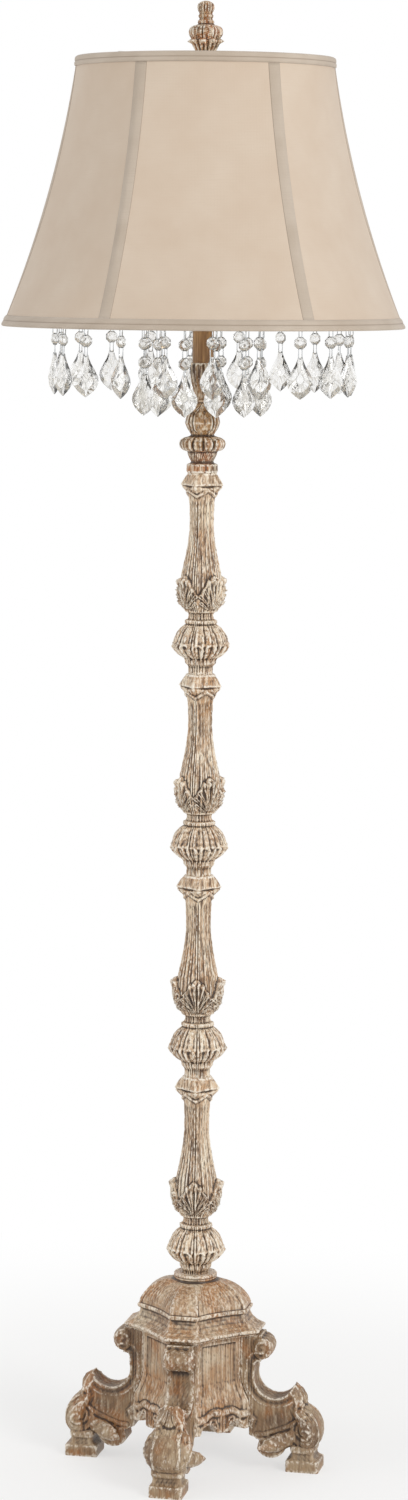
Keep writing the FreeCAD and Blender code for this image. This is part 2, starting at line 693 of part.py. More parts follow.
# ---------------------------------------------------------------------------------------------------------------
# Scroll legs
# ---------------------------------------------------------------------------------------------------------------
def build_leg(side, turn):
    """A leg cut from a thick board as one C-scroll, with a roll at the top, a leaf at the knee and a square foot."""
    body = add_body(f"scroll_leg_{side}")
    neck_bottom = size.foot_height + size.foot_cavetto
    neck_top = neck_bottom + size.neck_height
    neck_inner = size.foot_radius - size.neck_depth / 2
    neck_outer = size.foot_radius + size.neck_depth / 2
    volute_height = body_top - size.volute_radius - 4

    board = add_sketch(body, "board_outline", "XZ_Plane")
    scroll_bend = (size.spur_radius - 24, size.scroll_low)
    spur_bend = (size.notch_radius - 3, size.spur_height - 9)
    foot_bend = (size.foot_reach - 5, size.notch_height - 10)
    toe_bend = (size.foot_reach - 1.5, neck_top + 6)
    leaf_bend = (size.foot_radius - 34, size.pendant_low)
    draw_outline(board, [
        (size.body_radius, body_top),
        (size.volute_centre, body_top),
        (size.volute_centre, volute_height - size.volute_radius),
        (size.leg_waist, volute_height - size.volute_radius - 2),
        (size.leg_waist, volute_height - size.volute_radius - 11),
        (size.spur_radius, size.spur_height, scroll_bend),
        (size.notch_radius, size.notch_height, spur_bend),
        (size.foot_reach, size.foot_reach_height, foot_bend),
        (neck_outer, neck_top, toe_bend),
        (neck_inner, neck_top),
        (neck_inner - 5, neck_top - 2),
        (size.apron_radius + 9, neck_top - 6, leaf_bend),
        (size.apron_radius + 11, neck_top + 4),
        (size.apron_radius, neck_top + 9),
        (size.apron_radius, flare_bottom),
        (size.body_radius, body_bottom),
    ])
    pad(body, "board", board, size.leg_width, symmetric=True)

    roll = add_sketch(body, "roll_circle", "XZ_Plane")
    draw_circle(roll, size.volute_radius, (size.volute_centre, volute_height))
    pad(body, "upper_volute", roll, size.volute_width, symmetric=True)

    half = size.foot_width / 2
    block = add_sketch(body, "foot_square", "XY_Plane")
    draw_rectangle(block, (size.foot_radius - half, -half), (size.foot_radius + half, half))
    pad(body, "foot_block", block, size.foot_height)
    cavetto = []
    for name, height, depth, width in (
        ("cavetto_low", size.foot_height, size.foot_width, size.foot_width),
        ("cavetto_middle", size.foot_height + size.foot_cavetto / 3, size.neck_depth - 2, size.neck_width - 3),
        ("cavetto_high", neck_bottom, size.neck_depth - 3, size.neck_width - 4),
    ):
        sketch = add_sketch(body, name, "XY_Plane", height)
        draw_rectangle(sketch, (size.foot_radius - depth / 2, width / -2), (size.foot_radius + depth / 2, width / 2))
        cavetto.append(sketch)
    ruled_loft(body, "foot_cavetto", cavetto)
    neck = add_sketch(body, "neck_rectangle", "XY_Plane", neck_bottom)
    draw_rectangle(neck, (neck_inner, size.neck_width / -2), (neck_outer, size.neck_width / 2))
    pad(body, "foot_neck", neck, size.neck_height)

    # The leaf narrows upwards and keeps its keel on the front of the leg
    carved_loft(body, "knee_leaf", [
        (neck_top, size.knee_radius * 0.72),
        (neck_top + 6, size.knee_radius * 0.86),
        (size.knee_height, size.knee_radius),
        (size.knee_height + 13, size.knee_radius * 0.82),
        (size.knee_top, size.knee_radius * 0.38),
    ], KNEE_LOBES, KNEE_GROOVE, centre=size.foot_reach - size.knee_radius)
    place(body, turn=direction_angle(turn))


# ---------------------------------------------------------------------------------------------------------------
# Column
# ---------------------------------------------------------------------------------------------------------------
def build_section(number, leaf_turn, corner_turn):
    """One turned and carved column section, bored for the lamp pipe."""
    body = add_body(f"column_section_{number}")
    ball_low = drop(size.ball_foot_drop)
    bead_low = drop(size.bead_drop + size.bead_height)
    cup_low = drop(size.cup_foot_drop)
    cup_rim = drop(size.cup_rim_drop)
    shaft_waist = drop(size.shaft_waist_drop)
    capital_low = drop(size.capital_drop)
    capital_high = drop(size.head_ring_height)

    disc(body, "neck", 0, size.spigot_radius, ball_low)
    ball = bulge(ball_low, bead_low, size.ball_radius, size.ball_foot_radius, 6)
    carved_loft(body, "gadrooned_ball", ball, GADROONS, GADROON_GROOVE, direction_angle(leaf_turn))
    disc(body, "bead", bead_low, size.bead_radius, size.bead_height)
    disc(body, "waist", drop(size.bead_drop), size.shaft_radius, cup_low - drop(size.bead_drop))
    carved_loft(body, "leaf_cup", [
        (cup_low, size.cup_foot_radius),
        (cup_low + 5, size.cup_foot_radius + (size.cup_radius - size.cup_foot_radius) * 0.45),
        (cup_low + 11, size.cup_foot_radius + (size.cup_radius - size.cup_foot_radius) * 0.85),
        (drop(size.cup_belly_drop), size.cup_radius),
        (cup_rim, size.cup_radius),
    ], CUP_LEAVES, CUP_GROOVE, direction_angle(leaf_turn))
    carved_loft(body, "fluted_shaft", [
        (cup_rim, size.shaft_foot_radius + 1),
        (cup_rim + 12, size.shaft_foot_radius - 1.5),
        (cup_rim + 28, size.shaft_radius + 2.4),
        (shaft_waist, size.shaft_radius),
        (capital_low - 8, size.shaft_radius),
    ], SHAFT_FLUTES, FLUTE_GROOVE, direction_angle(corner_turn))
    carved_loft(body, "capital", [
        (capital_low - 8, size.shaft_radius),
        (capital_low, size.shaft_radius + 1.8),
        (drop(size.capital_tip_drop), size.capital_radius),
        (capital_high, size.capital_radius),
    ], 4, 1.0, direction_angle(corner_turn) + 22.5)
    disc(body, "head_ring", capital_high, size.head_ring_radius, size.head_ring_height)

    leaf = add_sketch(body, "leaf_tip_outline", "XZ_Plane", turn=direction_angle(leaf_turn))
    draw_outline(leaf, [
        (size.shaft_foot_radius + 2, drop(size.cup_belly_drop)),
        (size.cup_radius + 0.5, drop(size.cup_belly_drop)),
        (size.cup_radius + 1, drop(size.cup_rim_drop + 5)),
        (size.leaf_tip_radius, drop(size.cup_rim_drop + 3)),
        (size.leaf_tip_radius - 1, drop(size.cup_rim_drop - 3)),
        (size.shaft_foot_radius + 2, drop(size.cup_rim_drop - 4)),
    ])
    tip = pad(body, "leaf_tip", leaf, size.leaf_width, symmetric=True)
    around(body, "leaf_tips", [tip], 4)

    corner = add_sketch(body, "capital_corner_outline", "XZ_Plane", turn=direction_angle(corner_turn))
    draw_outline(corner, [
        (size.shaft_radius - 2, drop(size.capital_drop - 1)),
        (size.shaft_radius + 2, drop(size.capital_drop)),
        (size.capital_tip_radius, drop(size.capital_tip_drop + 2)),
        (size.capital_tip_radius - 1, drop(size.capital_tip_drop - 3)),
        (size.capital_radius, drop(size.head_ring_height)),
        (size.shaft_radius - 2, drop(size.head_ring_height)),
    ])
    wedge = pad(body, "capital_corner", corner, size.capital_tip_width, symmetric=True)
    around(body, "capital_corners", [wedge], 4)

    bore = add_sketch(body, "bore_circle", "XY_Plane")
    draw_circle(bore, stack_bore)
    pocket(body, "bore", bore, size.section_pitch, reverse=True)
    place(body, size.column_bottom + size.section_pitch * (len(SECTION_TURNS) - number))


def build_top_knob():
    """Ring, petal crown, gadrooned knob and tulip cup, turned as one piece."""
    body = add_body("candle_cup")
    ring_top = size.knob_ring_height
    sleeve_seat = size.sleeve_radius + size.sleeve_gap
    cup_outside = sleeve_seat + size.cup_wall
    knob_low = size.crown_neck_height
    disc(body, "ring", 0, size.knob_ring_radius, ring_top)
    carved_loft(body, "petal_crown", [
        (ring_top, size.knob_ring_radius - 3),
        (size.crown_height - 7, size.knob_ring_radius - 0.5),
        (size.crown_height - 5, size.crown_radius - 4),
        (size.crown_height, size.crown_radius),
        (size.crown_height + 7, size.crown_radius - 3),
        (knob_low, size.crown_neck_radius),
    ], CROWN_PETALS, CROWN_GROOVE)
    knob = bulge(knob_low, size.cup_neck_height - 4, size.knob_radius, size.crown_neck_radius - 2, 6)
    carved_loft(body, "gadrooned_knob", knob, GADROONS, GADROON_GROOVE)
    revolve(body, "tulip_cup", [
        (stack_bore, size.cup_neck_height - 4),
        (size.cup_neck_radius, size.cup_neck_height - 4),
        (size.cup_neck_radius, size.cup_neck_height + 4),
        (cup_outside - 1, size.cup_floor_height - 3),
        (cup_outside, size.cup_top_height - 2),
        (cup_outside, size.cup_top_height),
        (sleeve_seat, size.cup_top_height),
        (sleeve_seat, size.cup_floor_height),
        (stack_bore, size.cup_floor_height),
    ])
    bore = add_sketch(body, "bore_circle", "XY_Plane")
    draw_circle(bore, stack_bore)
    pocket(body, "bore", bore, size.cup_floor_height, reverse=True)
    place(body, column_top)


# ---------------------------------------------------------------------------------------------------------------
# Pipe and the pieces on it
# ---------------------------------------------------------------------------------------------------------------
def tube(name, outside, inside, bottom, length):
    """A straight tube standing on the axis."""
    outer = doc.addObject("Part::Cylinder", f"{name}_outside")
    inner = doc.addObject("Part::Cylinder", f"{name}_inside")
    for item, radius in ((outer, outside), (inner, inside)):
        bind(item, "Radius", radius)
        bind(item, "Height", length)
    cut = doc.addObject("Part::Cut", name)
    cut.Label = name
    cut.Base = outer
    cut.Tool = inner
    place(cut, bottom)
    return cut


def build_nut():
    """Hexagon nut and washer that clamp the whole stack, as two pieces in one node."""
    nut = doc.addObject("Part::Prism", "nut_blank")
    nut.Polygon = 6
    bind(nut, "Circumradius", size.nut_radius)
    bind(nut, "Height", size.nut_height)
    thread = doc.addObject("Part::Cylinder", "nut_thread")
    bind(thread, "Radius", thread_bore)
    bind(thread, "Height", size.nut_height)
    threaded = doc.addObject("Part::Cut", "nut")
    threaded.Base = nut
    threaded.Tool = thread
    place(threaded, nut_bottom)
    washer = tube("washer", size.washer_radius, stack_bore, washer_bottom, size.washer_height)
    both = doc.addObject("Part::Compound", "base_nut")
    both.Label = "base_nut"
    both.Links = [threaded, washer]


def build_bushing():
    body = add_body("cord_bushing")
    sleeve_outside = pipe_bore - size.bushing_gap
    revolve(body, "bushing", [
        (size.bushing_bore_radius, 0),
        (size.bushing_flange_radius, 0),
        (size.bushing_flange_radius, size.bushing_flange_height),
        (sleeve_outside, size.bushing_flange_height),
        (sleeve_outside, size.bushing_flange_height + size.bushing_sleeve_length),
        (size.bushing_bore_radius, size.bushing_flange_height + size.bushing_sleeve_length),
    ])
    place(body, pipe_bottom - size.bushing_flange_height)


# ---------------------------------------------------------------------------------------------------------------
# Crystal frame and crystal strings
# ---------------------------------------------------------------------------------------------------------------
def ring_profile(radius):
    half = size.strip_size / 2
    return [(radius - half, -half), (radius + half, -half), (radius + half, half), (radius - half, half)]


def build_crystal_frame():
    """Washer, sloping spokes and two rings bent from square wire."""
    body = add_body("crystal_frame")
    half = size.strip_size / 2
    revolve(body, "outer_ring", ring_profile(size.outer_tier_radius))
    spoke = add_sketch(body, "spoke_outline", "XZ_Plane", turn=direction_angle(SPOKE_FIRST_TURN))
    draw_outline(spoke, [
        (size.hub_radius - 2, size.frame_drop - half),
        (size.inner_tier_radius - half, -half),
        (size.outer_tier_radius, -half),
        (size.outer_tier_radius, half),
        (size.inner_tier_radius - half, half),
        (size.hub_radius, size.frame_drop + half),
        (size.hub_radius - 2, size.frame_drop + half),
    ])
    arm = pad(body, "spoke", spoke, size.spoke_width, symmetric=True)
    around(body, "spokes", [arm], SPOKES)
    revolve(body, "inner_ring", ring_profile(size.inner_tier_radius))
    revolve(body, "hub", [
        (stack_bore, size.frame_drop - half),
        (size.hub_radius, size.frame_drop - half),
        (size.hub_radius, size.frame_drop + half),
        (stack_bore, size.frame_drop + half),
    ])
    place(body, tier_height)


def flat_link(top, bottom):
    """Rectangular wire link between two heights, across the radius."""
    wire = float(size.link_wire)
    solids = []
    for inset in (0.0, wire):
        half = float(size.link_width) / 2 - inset
        corners = [(-half, bottom + inset), (half, bottom + inset), (half, top - inset), (-half, top - inset)]
        solids.append(face_of([Vector(wire / -2, y, z) for y, z in corners]).extrude(Vector(wire, 0, 0)))
    return solids[0].cut(solids[1])


def round_hook(bottom):
    """Wire hook from a height up and round over the frame wire, whose middle is at the origin."""
    wire = float(size.link_wire)
    solids = []
    for inset in (0.0, wire):
        half = float(size.link_width) / 2 - inset
        start = Vector(-half, wire / -2, 0)
        stop = Vector(half, wire / -2, 0)
        corners = [start, Vector(-half, wire / -2, bottom + inset), Vector(half, wire / -2, bottom + inset), stop]
        outline = Part.Wire([*Part.makePolygon(corners).Edges,
                             Part.Arc(stop, Vector(0, wire / -2, half), start).toShape()])
        solids.append(Part.Face(outline).extrude(Vector(0, wire, 0)))
    return solids[0].cut(solids[1])


def faceted(outline, depth, peak_height):
    """Cut crystal: an outline in the YZ plane with a facet from each edge to a peak in front and behind."""
    front = Vector(depth / 2, 0, peak_height)
    back = Vector(-depth / 2, 0, peak_height)
    rim = [Vector(0, y, z) for y, z in outline]
    faces = []
    for index, point in enumerate(rim):
        following = rim[(index + 1) % len(rim)]
        faces.append(face_of([point, following, front]))
        faces.append(face_of([following, point, back]))
    return Part.makeSolid(Part.makeShell(faces))


def octagon_bead(middle):
    corner_radius = float(size.bead_width) / 2 / math.cos(math.pi / 8)
    outline = []
    for index in range(8):
        angle = math.pi * (index + 0.5) / 4
        outline.append((corner_radius * math.cos(angle), middle + corner_radius * math.sin(angle)))
    return faceted(outline, float(size.bead_depth), middle)


def leaf_pendant(top):
    """Leaf-shaped pendant: narrow neck, widest below the middle, pointed end."""
    half = float(size.pendant_width) / 2
    length = float(size.pendant_length)
    right = [(0.17, 0.0), (0.55, 0.3), (1.0, 0.64), (0.68, 0.86), (0.0, 1.0)]
    outline = [(half * across, top - length * along) for across, along in right]
    outline += [(-half * across, top - length * along) for across, along in reversed(right[:-1])]
    return faceted(outline, float(size.pendant_depth), top - length * right[2][1])


def string_solids(bead_middles, pendant_top):
    """Solids of one string, hanging from a frame wire at the origin and facing +X."""
    gap = float(size.crystal_gap)
    half_bead = float(size.bead_width) / 2
    solids = [round_hook(bead_middles[0] + half_bead + gap)]
    above = None
    for middle in bead_middles:
        if above is not None:
            solids.append(flat_link(above - gap, middle + half_bead + gap))
        solids.append(octagon_bead(middle))
        above = middle - half_bead
    solids.append(flat_link(above - gap, pendant_top + gap))
    solids.append(leaf_pendant(pendant_top))
    return solids


def build_strings(tier, count, first_turn, radius, bead_middles, pendant_top):
    """Hang a tier of crystal strings on its ring."""
    step = FULL_TURN / count
    for index in range(count):
        solids = string_solids(bead_middles, pendant_top)
        for solid in solids:
            solid.translate(Vector(float(radius), 0, 0))
        name = f"crystal_{tier}_{index + 1:02d}"
        add_shape(name, Part.makeCompound(solids), tier_height, direction_angle(first_turn + index * step))


# ---------------------------------------------------------------------------------------------------------------
# Socket, switch, bulb and harp
# ---------------------------------------------------------------------------------------------------------------
def build_socket():
    inside = size.cap_radius - size.cap_wall
    cap = add_body("socket_cap")
    revolve(cap, "cap", [
        (thread_bore, 0),
        (size.cap_neck_radius, 0),
        (size.cap_neck_radius, size.cap_neck_height),
        (size.cap_radius, size.cap_neck_height + size.cap_shoulder),
        (size.cap_radius, size.cap_height),
        (inside, size.cap_height),
        (inside, cap_floor),
        (thread_bore, cap_floor),
    ])
    place(cap, saddle_top)

    shell = add_body("socket_shell")
    outside = inside - size.shell_gap
    boss_middle = (0, size.boss_height)
    revolve(shell, "shell", [
        (0, 0),
        (outside, 0),
        (outside, size.shell_height),
        (outside - size.shell_wall, size.shell_height),
        (outside - size.shell_wall, size.shell_floor),
        (0, size.shell_floor),
    ])
    boss = add_sketch(shell, "boss_circle", "XZ_Plane", outside - size.shell_wall / 2)
    draw_circle(boss, size.boss_radius, boss_middle)
    pad(shell, "boss", boss, size.boss_reach - outside + size.shell_wall / 2)
    hole = add_sketch(shell, "stem_circle", "XZ_Plane", outside + 1)
    draw_circle(hole, size.stem_radius + size.stem_gap, boss_middle)
    pocket(shell, "stem_hole", hole, size.boss_reach, reverse=True)
    place(shell, shell_bottom)

    knob = add_body("switch_knob")
    stem_start = outside + 1.3
    knob_start = size.boss_reach + 0.5
    disc(knob, "stem", stem_start, size.stem_radius, knob_start - stem_start)
    carved_loft(knob, "grip", [
        (knob_start, size.switch_knob_radius),
        (knob_start + size.switch_knob_length, size.switch_knob_radius * 0.9),
    ], GRIP_RIBS, GRIP_GROOVE)
    knob.Placement = Placement(Vector(), Rotation(Vector(1, 0, 0), 90))
    bind(knob, "Placement.Base.z", shell_bottom + size.boss_height)


def build_bulb():
    """Tubular bulb: screw base and a straight glass with a bevelled end."""
    body = add_body("bulb")
    base = size.bulb_base_height
    revolve(body, "bulb", [
        (0, 0),
        (size.bulb_base_radius, 0),
        (size.bulb_base_radius, base),
        (size.bulb_radius, base + 3),
        (size.bulb_radius, size.bulb_length - 4),
        (size.bulb_radius - 5, size.bulb_length),
        (0, size.bulb_length),
    ])
    place(body, shell_bottom + size.shell_floor + size.bulb_seat)


def build_saddle():
    """U-shaped saddle with a post for each end of the harp."""
    body = add_body("harp_saddle")
    thickness = size.saddle_thickness
    reach = size.harp_foot
    post_radius = size.harp_post_radius
    plate = add_sketch(body, "plate_plan", "XY_Plane")
    half = size.saddle_width / 2
    end = reach + post_radius + size.harp_collar
    draw_rectangle(plate, (-end, -half), (end, half))
    pad(body, "plate", plate, thickness)
    collar_height = size.harp_post_height - size.ferrule_length / 2 - 2 * size.ferrule_seat
    for side, sign in (("left", -1), ("right", 1)):
        for name, radius, height in (
            ("post", post_radius, size.harp_post_height),
            ("collar", post_radius + size.harp_collar, collar_height),
        ):
            circle = add_sketch(body, f"{name}_{side}_circle", "XY_Plane", thickness)
            draw_circle(circle, radius, (sign * reach, 0))
            pad(body, f"{name}_{side}", circle, height)
    hole = add_sketch(body, "pipe_hole_circle", "XY_Plane")
    draw_circle(hole, stack_bore)
    pocket(body, "pipe_hole", hole, thickness, reverse=True)
    place(body, hub_top)


def harp_side(shift):
    """Right side of the harp from its foot to the crown of its arch, moved out by a shift."""
    foot = size.harp_foot + shift
    wide = size.harp_half_width + shift
    low = saddle_top + size.harp_post_height
    bend_low = low + size.harp_straight
    half_swell = size.harp_swell / 2
    half_across = (wide - foot) / 2
    return [
        (foot, low),
        (foot, bend_low),
        (foot + half_across, bend_low + half_swell,
         (foot + half_across * BEND_ACROSS, bend_low + half_swell * BEND_UP)),
        (wide, bend_low + 2 * half_swell,
         (wide - half_across * BEND_ACROSS, bend_low + half_swell * (2 - BEND_UP))),
        (wide, harp_arch),
        (0, harp_arch + wide, (wide * HALF_WAY_ROUND, harp_arch + wide * HALF_WAY_ROUND)),
    ]


def walked_back(side):
    """The corners of a stretch in reverse order, without its last one; each arc keeps its bend."""
    return [(*side[index - 1][:2], *side[index][2:]) for index in range(len(side) - 1, 0, -1)]


def build_harp():
    """Loop of square wire that carries the shade, with a seat and a threaded stud on top."""
    body = add_body("harp")
    outer = harp_side(size.harp_strip / 2)
    inner = harp_side(size.harp_strip / -2)
    half_loop = add_sketch(body, "half_loop_outline", "XZ_Plane")
    draw_outline(half_loop, [*outer, inner[-1][:2], *walked_back(inner)])
    right = pad(body, "right_half", half_loop, size.harp_strip, symmetric=True)
    left = body.newObject("PartDesign::Mirrored", "left_half")
    left.Originals = [right]
    left.MirrorPlane = (origin_feature(body, "YZ_Plane"), [""])
    body.Tip = left
    doc.recompute()
    crown = harp_arch + size.harp_half_width
    disc(body, "seat", crown, size.harp_seat_radius, shade_seat - crown)
    disc(body, "stud", shade_seat, size.stud_radius, size.spider_thickness + size.stud_length)


def build_ferrules():
    """Short sleeves that lock the harp's ends on the posts."""
    bottom = saddle_top + size.harp_post_height - size.ferrule_length / 2 - size.ferrule_seat
    inside = size.harp_post_radius + size.ferrule_gap
    for side, sign in (("left", -1), ("right", 1)):
        ferrule = tube(f"harp_ferrule_{side}", inside + size.ferrule_wall, inside, bottom, size.ferrule_length)
        bind(ferrule, "Placement.Base.x", sign * size.harp_foot)


# ---------------------------------------------------------------------------------------------------------------
# Shade
# ---------------------------------------------------------------------------------------------------------------
def flare(offset):
    """Shade profile: three points (radius, height) moved out from the fabric's outside by an offset."""
    middle_height = (float(size.shade_top) + float(size.shade_bottom)) / 2
    return [
        (float(size.shade_top_radius) + offset, float(size.shade_top)),
        (float(size.shade_middle_radius) + offset, middle_height),
        (float(size.shade_bottom_radius) + offset, float(size.shade_bottom)),
    ]


def upright_face(inner, outer, across=0.0):
    """Face between two three-point arcs in the XZ plane, moved along Y."""
    low = [Vector(x, across, z) for x, z in inner]
    high = [Vector(x, across, z) for x, z in outer]
    return Part.Face(Part.Wire([
        Part.Arc(*low).toShape(),
        Part.makeLine(low[2], high[2]),
        Part.Arc(high[2], high[1], high[0]).toShape(),
        Part.makeLine(high[0], low[0]),
    ]))


def swept(face, angle=FULL_TURN):
    """Solid that a face sweeps round the lamp's axis."""
    return face.revolve(Vector(), Vector(0, 0, 1), angle)


def turned(shape, turn):
    copy = shape.copy()
    copy.rotate(Vector(), Vector(0, 0, 1), turn)
    return copy


def repeated(shape, count):
    """Copies of a shape, spread evenly round the axis from the first seam."""
    first = direction_angle(SHADE_SEAM_TURN)
    return [turned(shape, first + FULL_TURN / count * index) for index in range(count)]


def build_shade():
    fabric = float(size.fabric_thickness)
    skin = upright_face(flare(-fabric), flare(0.0))
    pieces = SHADE_SIDES * PANEL_PARTS
    add_shape("shade_cover", Part.makeCompound(repeated(swept(skin, FULL_TURN / pieces), pieces)))
    add_shape("shade_trim", Part.makeCompound(trim_bands()))

    # Wire frame: a ring at the top and the bottom, a rib behind each seam and a three-armed spider
    wire = float(size.shade_wire)
    clear = fabric + float(size.wire_gap)
    top_ring = ring_arcs(float(size.shade_top_radius) - clear, float(size.shade_top) - wire)
    bottom_ring = ring_arcs(float(size.shade_bottom_radius) - clear - wire / 2, float(size.shade_bottom))
    height = float(size.spider_thickness)
    seat = Vector(0, 0, float(shade_seat))
    washer = Part.makeCylinder(float(size.spider_hub_radius), height, seat)
    hole = Part.makeCylinder(float(size.stud_radius + size.hub_bore_gap), height, seat)
    ribs = repeated(seam_rib(), SHADE_SIDES)
    arms = repeated(spider_arm(), SPIDER_ARMS)
    add_shape("shade_frame", Part.makeCompound([*top_ring, *bottom_ring, *ribs, *arms, washer.cut(hole)]))


def trim_bands():
    """Folded fabric bands along both edges, and one over each seam between them."""
    glue = float(size.trim_gap)
    skin = upright_face(flare(glue), flare(glue + float(size.trim_thickness)))
    band = float(size.trim_height)
    low = float(size.shade_bottom)
    high = float(size.shade_top)
    reach = float(size.shade_bottom_radius) * 2
    edges = []
    for bottom, top in ((low, low + band), (high - band, high)):
        keep = face_of([Vector(0, 0, bottom), Vector(reach, 0, bottom), Vector(reach, 0, top), Vector(0, 0, top)])
        edges.append(swept(skin.common(keep).Faces[0]))
    half = float(size.seam_trim_width) / 2
    strip = Part.makeBox(reach, 2 * half, high - low - 2 * band, Vector(0, -half, low + band))
    side = swept(skin, FULL_TURN / SHADE_SIDES)
    side.rotate(Vector(), Vector(0, 0, 1), FULL_TURN / SHADE_SIDES / -2)
    return edges + repeated(side.common(strip).Solids[0], SHADE_SIDES)


def ring_arcs(outer_radius, bottom):
    """Ring of square wire, as its arcs."""
    wire = float(size.shade_wire)
    section = face_of([Vector(outer_radius - wire, 0, bottom), Vector(outer_radius, 0, bottom),
                       Vector(outer_radius, 0, bottom + wire), Vector(outer_radius - wire, 0, bottom + wire)])
    return repeated(swept(section, FULL_TURN / RING_PARTS), RING_PARTS)


def seam_rib():
    """Wire behind a seam, from the top ring down to the bottom ring."""
    wire = float(size.shade_wire)
    inset = float(size.fabric_thickness + size.wire_gap) + wire / 4
    outer = [(radius - inset, height) for radius, height in flare(0.0)]
    outer[0] = (outer[0][0], outer[0][1] - wire)
    outer[2] = (outer[2][0] - wire / 2, outer[2][1] + wire)
    inner = [(x - wire, z) for x, z in outer]
    return upright_face(inner, outer, -wire / 2).extrude(Vector(0, wire, 0))


def spider_arm():
    """Straight arm from the washer out to the top ring."""
    wire = float(size.shade_wire)
    inside = float(size.shade_top_radius - size.fabric_thickness - size.wire_gap) - wire
    start = float(size.spider_hub_radius + size.spider_gap)
    end = math.sqrt(inside ** 2 - (wire / 2) ** 2) - float(size.spider_gap)
    bottom = float(shade_seat + size.spider_thickness) - wire
    return Part.makeBox(end - start, wire, wire, Vector(start, -wire / 2, bottom))


# ---------------------------------------------------------------------------------------------------------------
# Finial
# ---------------------------------------------------------------------------------------------------------------
def build_finial():
    """Leafy bulb, two rings and a petalled knob."""
    body = add_body("finial")
    leaf_height = size.finial_leaf_height
    neck = size.finial_neck_height
    knob_low = neck + 4 * size.finial_ring_height
    carved_loft(body, "leafy_bulb", [
        (0, size.finial_foot_radius),
        (leaf_height - 5, size.finial_leaf_radius - 3),
        (leaf_height, size.finial_leaf_radius),
        (size.finial_bulb_height - 4, size.finial_bulb_radius),
        (size.finial_bulb_height + 3, size.finial_bulb_radius - 1),
        (neck, size.finial_ring_radius + 1.5),
    ], FINIAL_LEAVES, CUP_GROOVE)
    for index, radius in enumerate((size.finial_neck_radius, size.finial_ring_radius) * 2):
        disc(body, f"neck_{index}", neck + index * size.finial_ring_height, radius, size.finial_ring_height)
    top_knob = bulge(knob_low, size.finial_height, size.finial_top_radius, size.finial_top_radius / 2, 6)
    carved_loft(body, "petalled_knob", top_knob, FINIAL_LEAVES, CUP_GROOVE)
    leaf = add_sketch(body, "leaf_outline", "XZ_Plane")
    draw_outline(leaf, [
        (size.finial_foot_radius, leaf_height - 6),
        (size.finial_leaf_radius, leaf_height - 5),
        (size.finial_leaf_tip, leaf_height - 1),
        (size.finial_leaf_tip - 1, leaf_height + 2),
        (size.finial_foot_radius, leaf_height + 1),
    ])
    tip = pad(body, "leaf_tip", leaf, size.finial_leaf_tip / 4, symmetric=True)
    around(body, "leaf_tips", [tip], FINIAL_LEAVES)
    bore = add_sketch(body, "bore_circle", "XY_Plane")
    draw_circle(bore, size.stud_radius + size.finial_thread_gap)
    pocket(body, "bore", bore, size.finial_bore_depth, reverse=True)
    place(body, shade_seat + size.spider_thickness + size.finial_seat)


# ---------------------------------------------------------------------------------------------------------------
# Build everything
# ---------------------------------------------------------------------------------------------------------------
build_base_body()
for leg_side, leg_turn in LEG_TURNS.items():
    build_leg(leg_side, leg_turn)
tube("counterweight", size.weight_radius, stack_bore, weight_bottom, size.weight_height)
build_nut()
build_bushing()
for section_number, (section_leaf_turn, section_corner_turn) in SECTION_TURNS.items():
    build_section(section_number, section_leaf_turn, section_corner_turn)
build_top_knob()
tube("lamp_pipe", size.pipe_radius, pipe_bore, pipe_bottom, pipe_top - pipe_bottom)
tube("candle_sleeve", size.sleeve_radius, size.sleeve_radius - size.sleeve_wall, sleeve_bottom, size.sleeve_length)
build_crystal_frame()
build_strings("outer", OUTER_STRINGS, OUTER_FIRST_TURN, size.outer_tier_radius,
              [-float(size.outer_bead_drop)], -float(size.outer_pendant_drop))
build_strings("inner", INNER_STRINGS, INNER_FIRST_TURN, size.inner_tier_radius,
              [-float(size.inner_bead_drop), -float(size.inner_bead_drop + size.inner_bead_pitch)],
              -float(size.inner_pendant_drop))
build_socket()
build_bulb()
build_saddle()
build_harp()
build_ferrules()
build_shade()
build_finial()
doc.recompute()

# ---------------------------------------------------------------------------------------------------------------
# Check and write the pieces
# ---------------------------------------------------------------------------------------------------------------
NODES = [
    "base_body",
    *[f"scroll_leg_{name}" for name in LEG_TURNS],
    "counterweight", "base_nut", "cord_bushing",
    *[f"column_section_{number}" for number in SECTION_TURNS],
    "candle_cup", "lamp_pipe", "candle_sleeve", "crystal_frame",
    *[f"crystal_outer_{index + 1:02d}" for index in range(OUTER_STRINGS)],
    *[f"crystal_inner_{index + 1:02d}" for index in range(INNER_STRINGS)],
    "socket_cap", "socket_shell", "switch_knob", "bulb",
    "harp_saddle", "harp", "harp_ferrule_left", "harp_ferrule_right",
    "shade_frame", "shade_cover", "shade_trim", "finial",
]

for item in doc.Objects:
    if "Invalid" in item.State or "Error" in item.State:
        raise RuntimeError(f"{item.Name} failed: {item.State}")

pieces = {item.Label: item for item in doc.Objects}
for node in NODES:
    shape = pieces[node].Shape
    if shape.isNull() or not shape.isValid() or not shape.Solids:
        raise RuntimeError(f"{node} has no valid solid")
    shape.exportStep(f"parts/{node}.step")
print(len(NODES), "pieces written")
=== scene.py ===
# %% [markdown]
# # A candlestick floor lamp, dressed in Blender
# The lamp has a carved base on four scroll legs, four stacked column sections, a candle cup and sleeve, a
# wire frame hung with cut crystals, and a bell shade of six linen panels under a finial. The measured
# solids come in first as a fixed frame. Every visible piece is then made around them and rides on one of
# their bodies, so that it moves when the shade turns or a crystal swings.

# %% Load the frame
import math

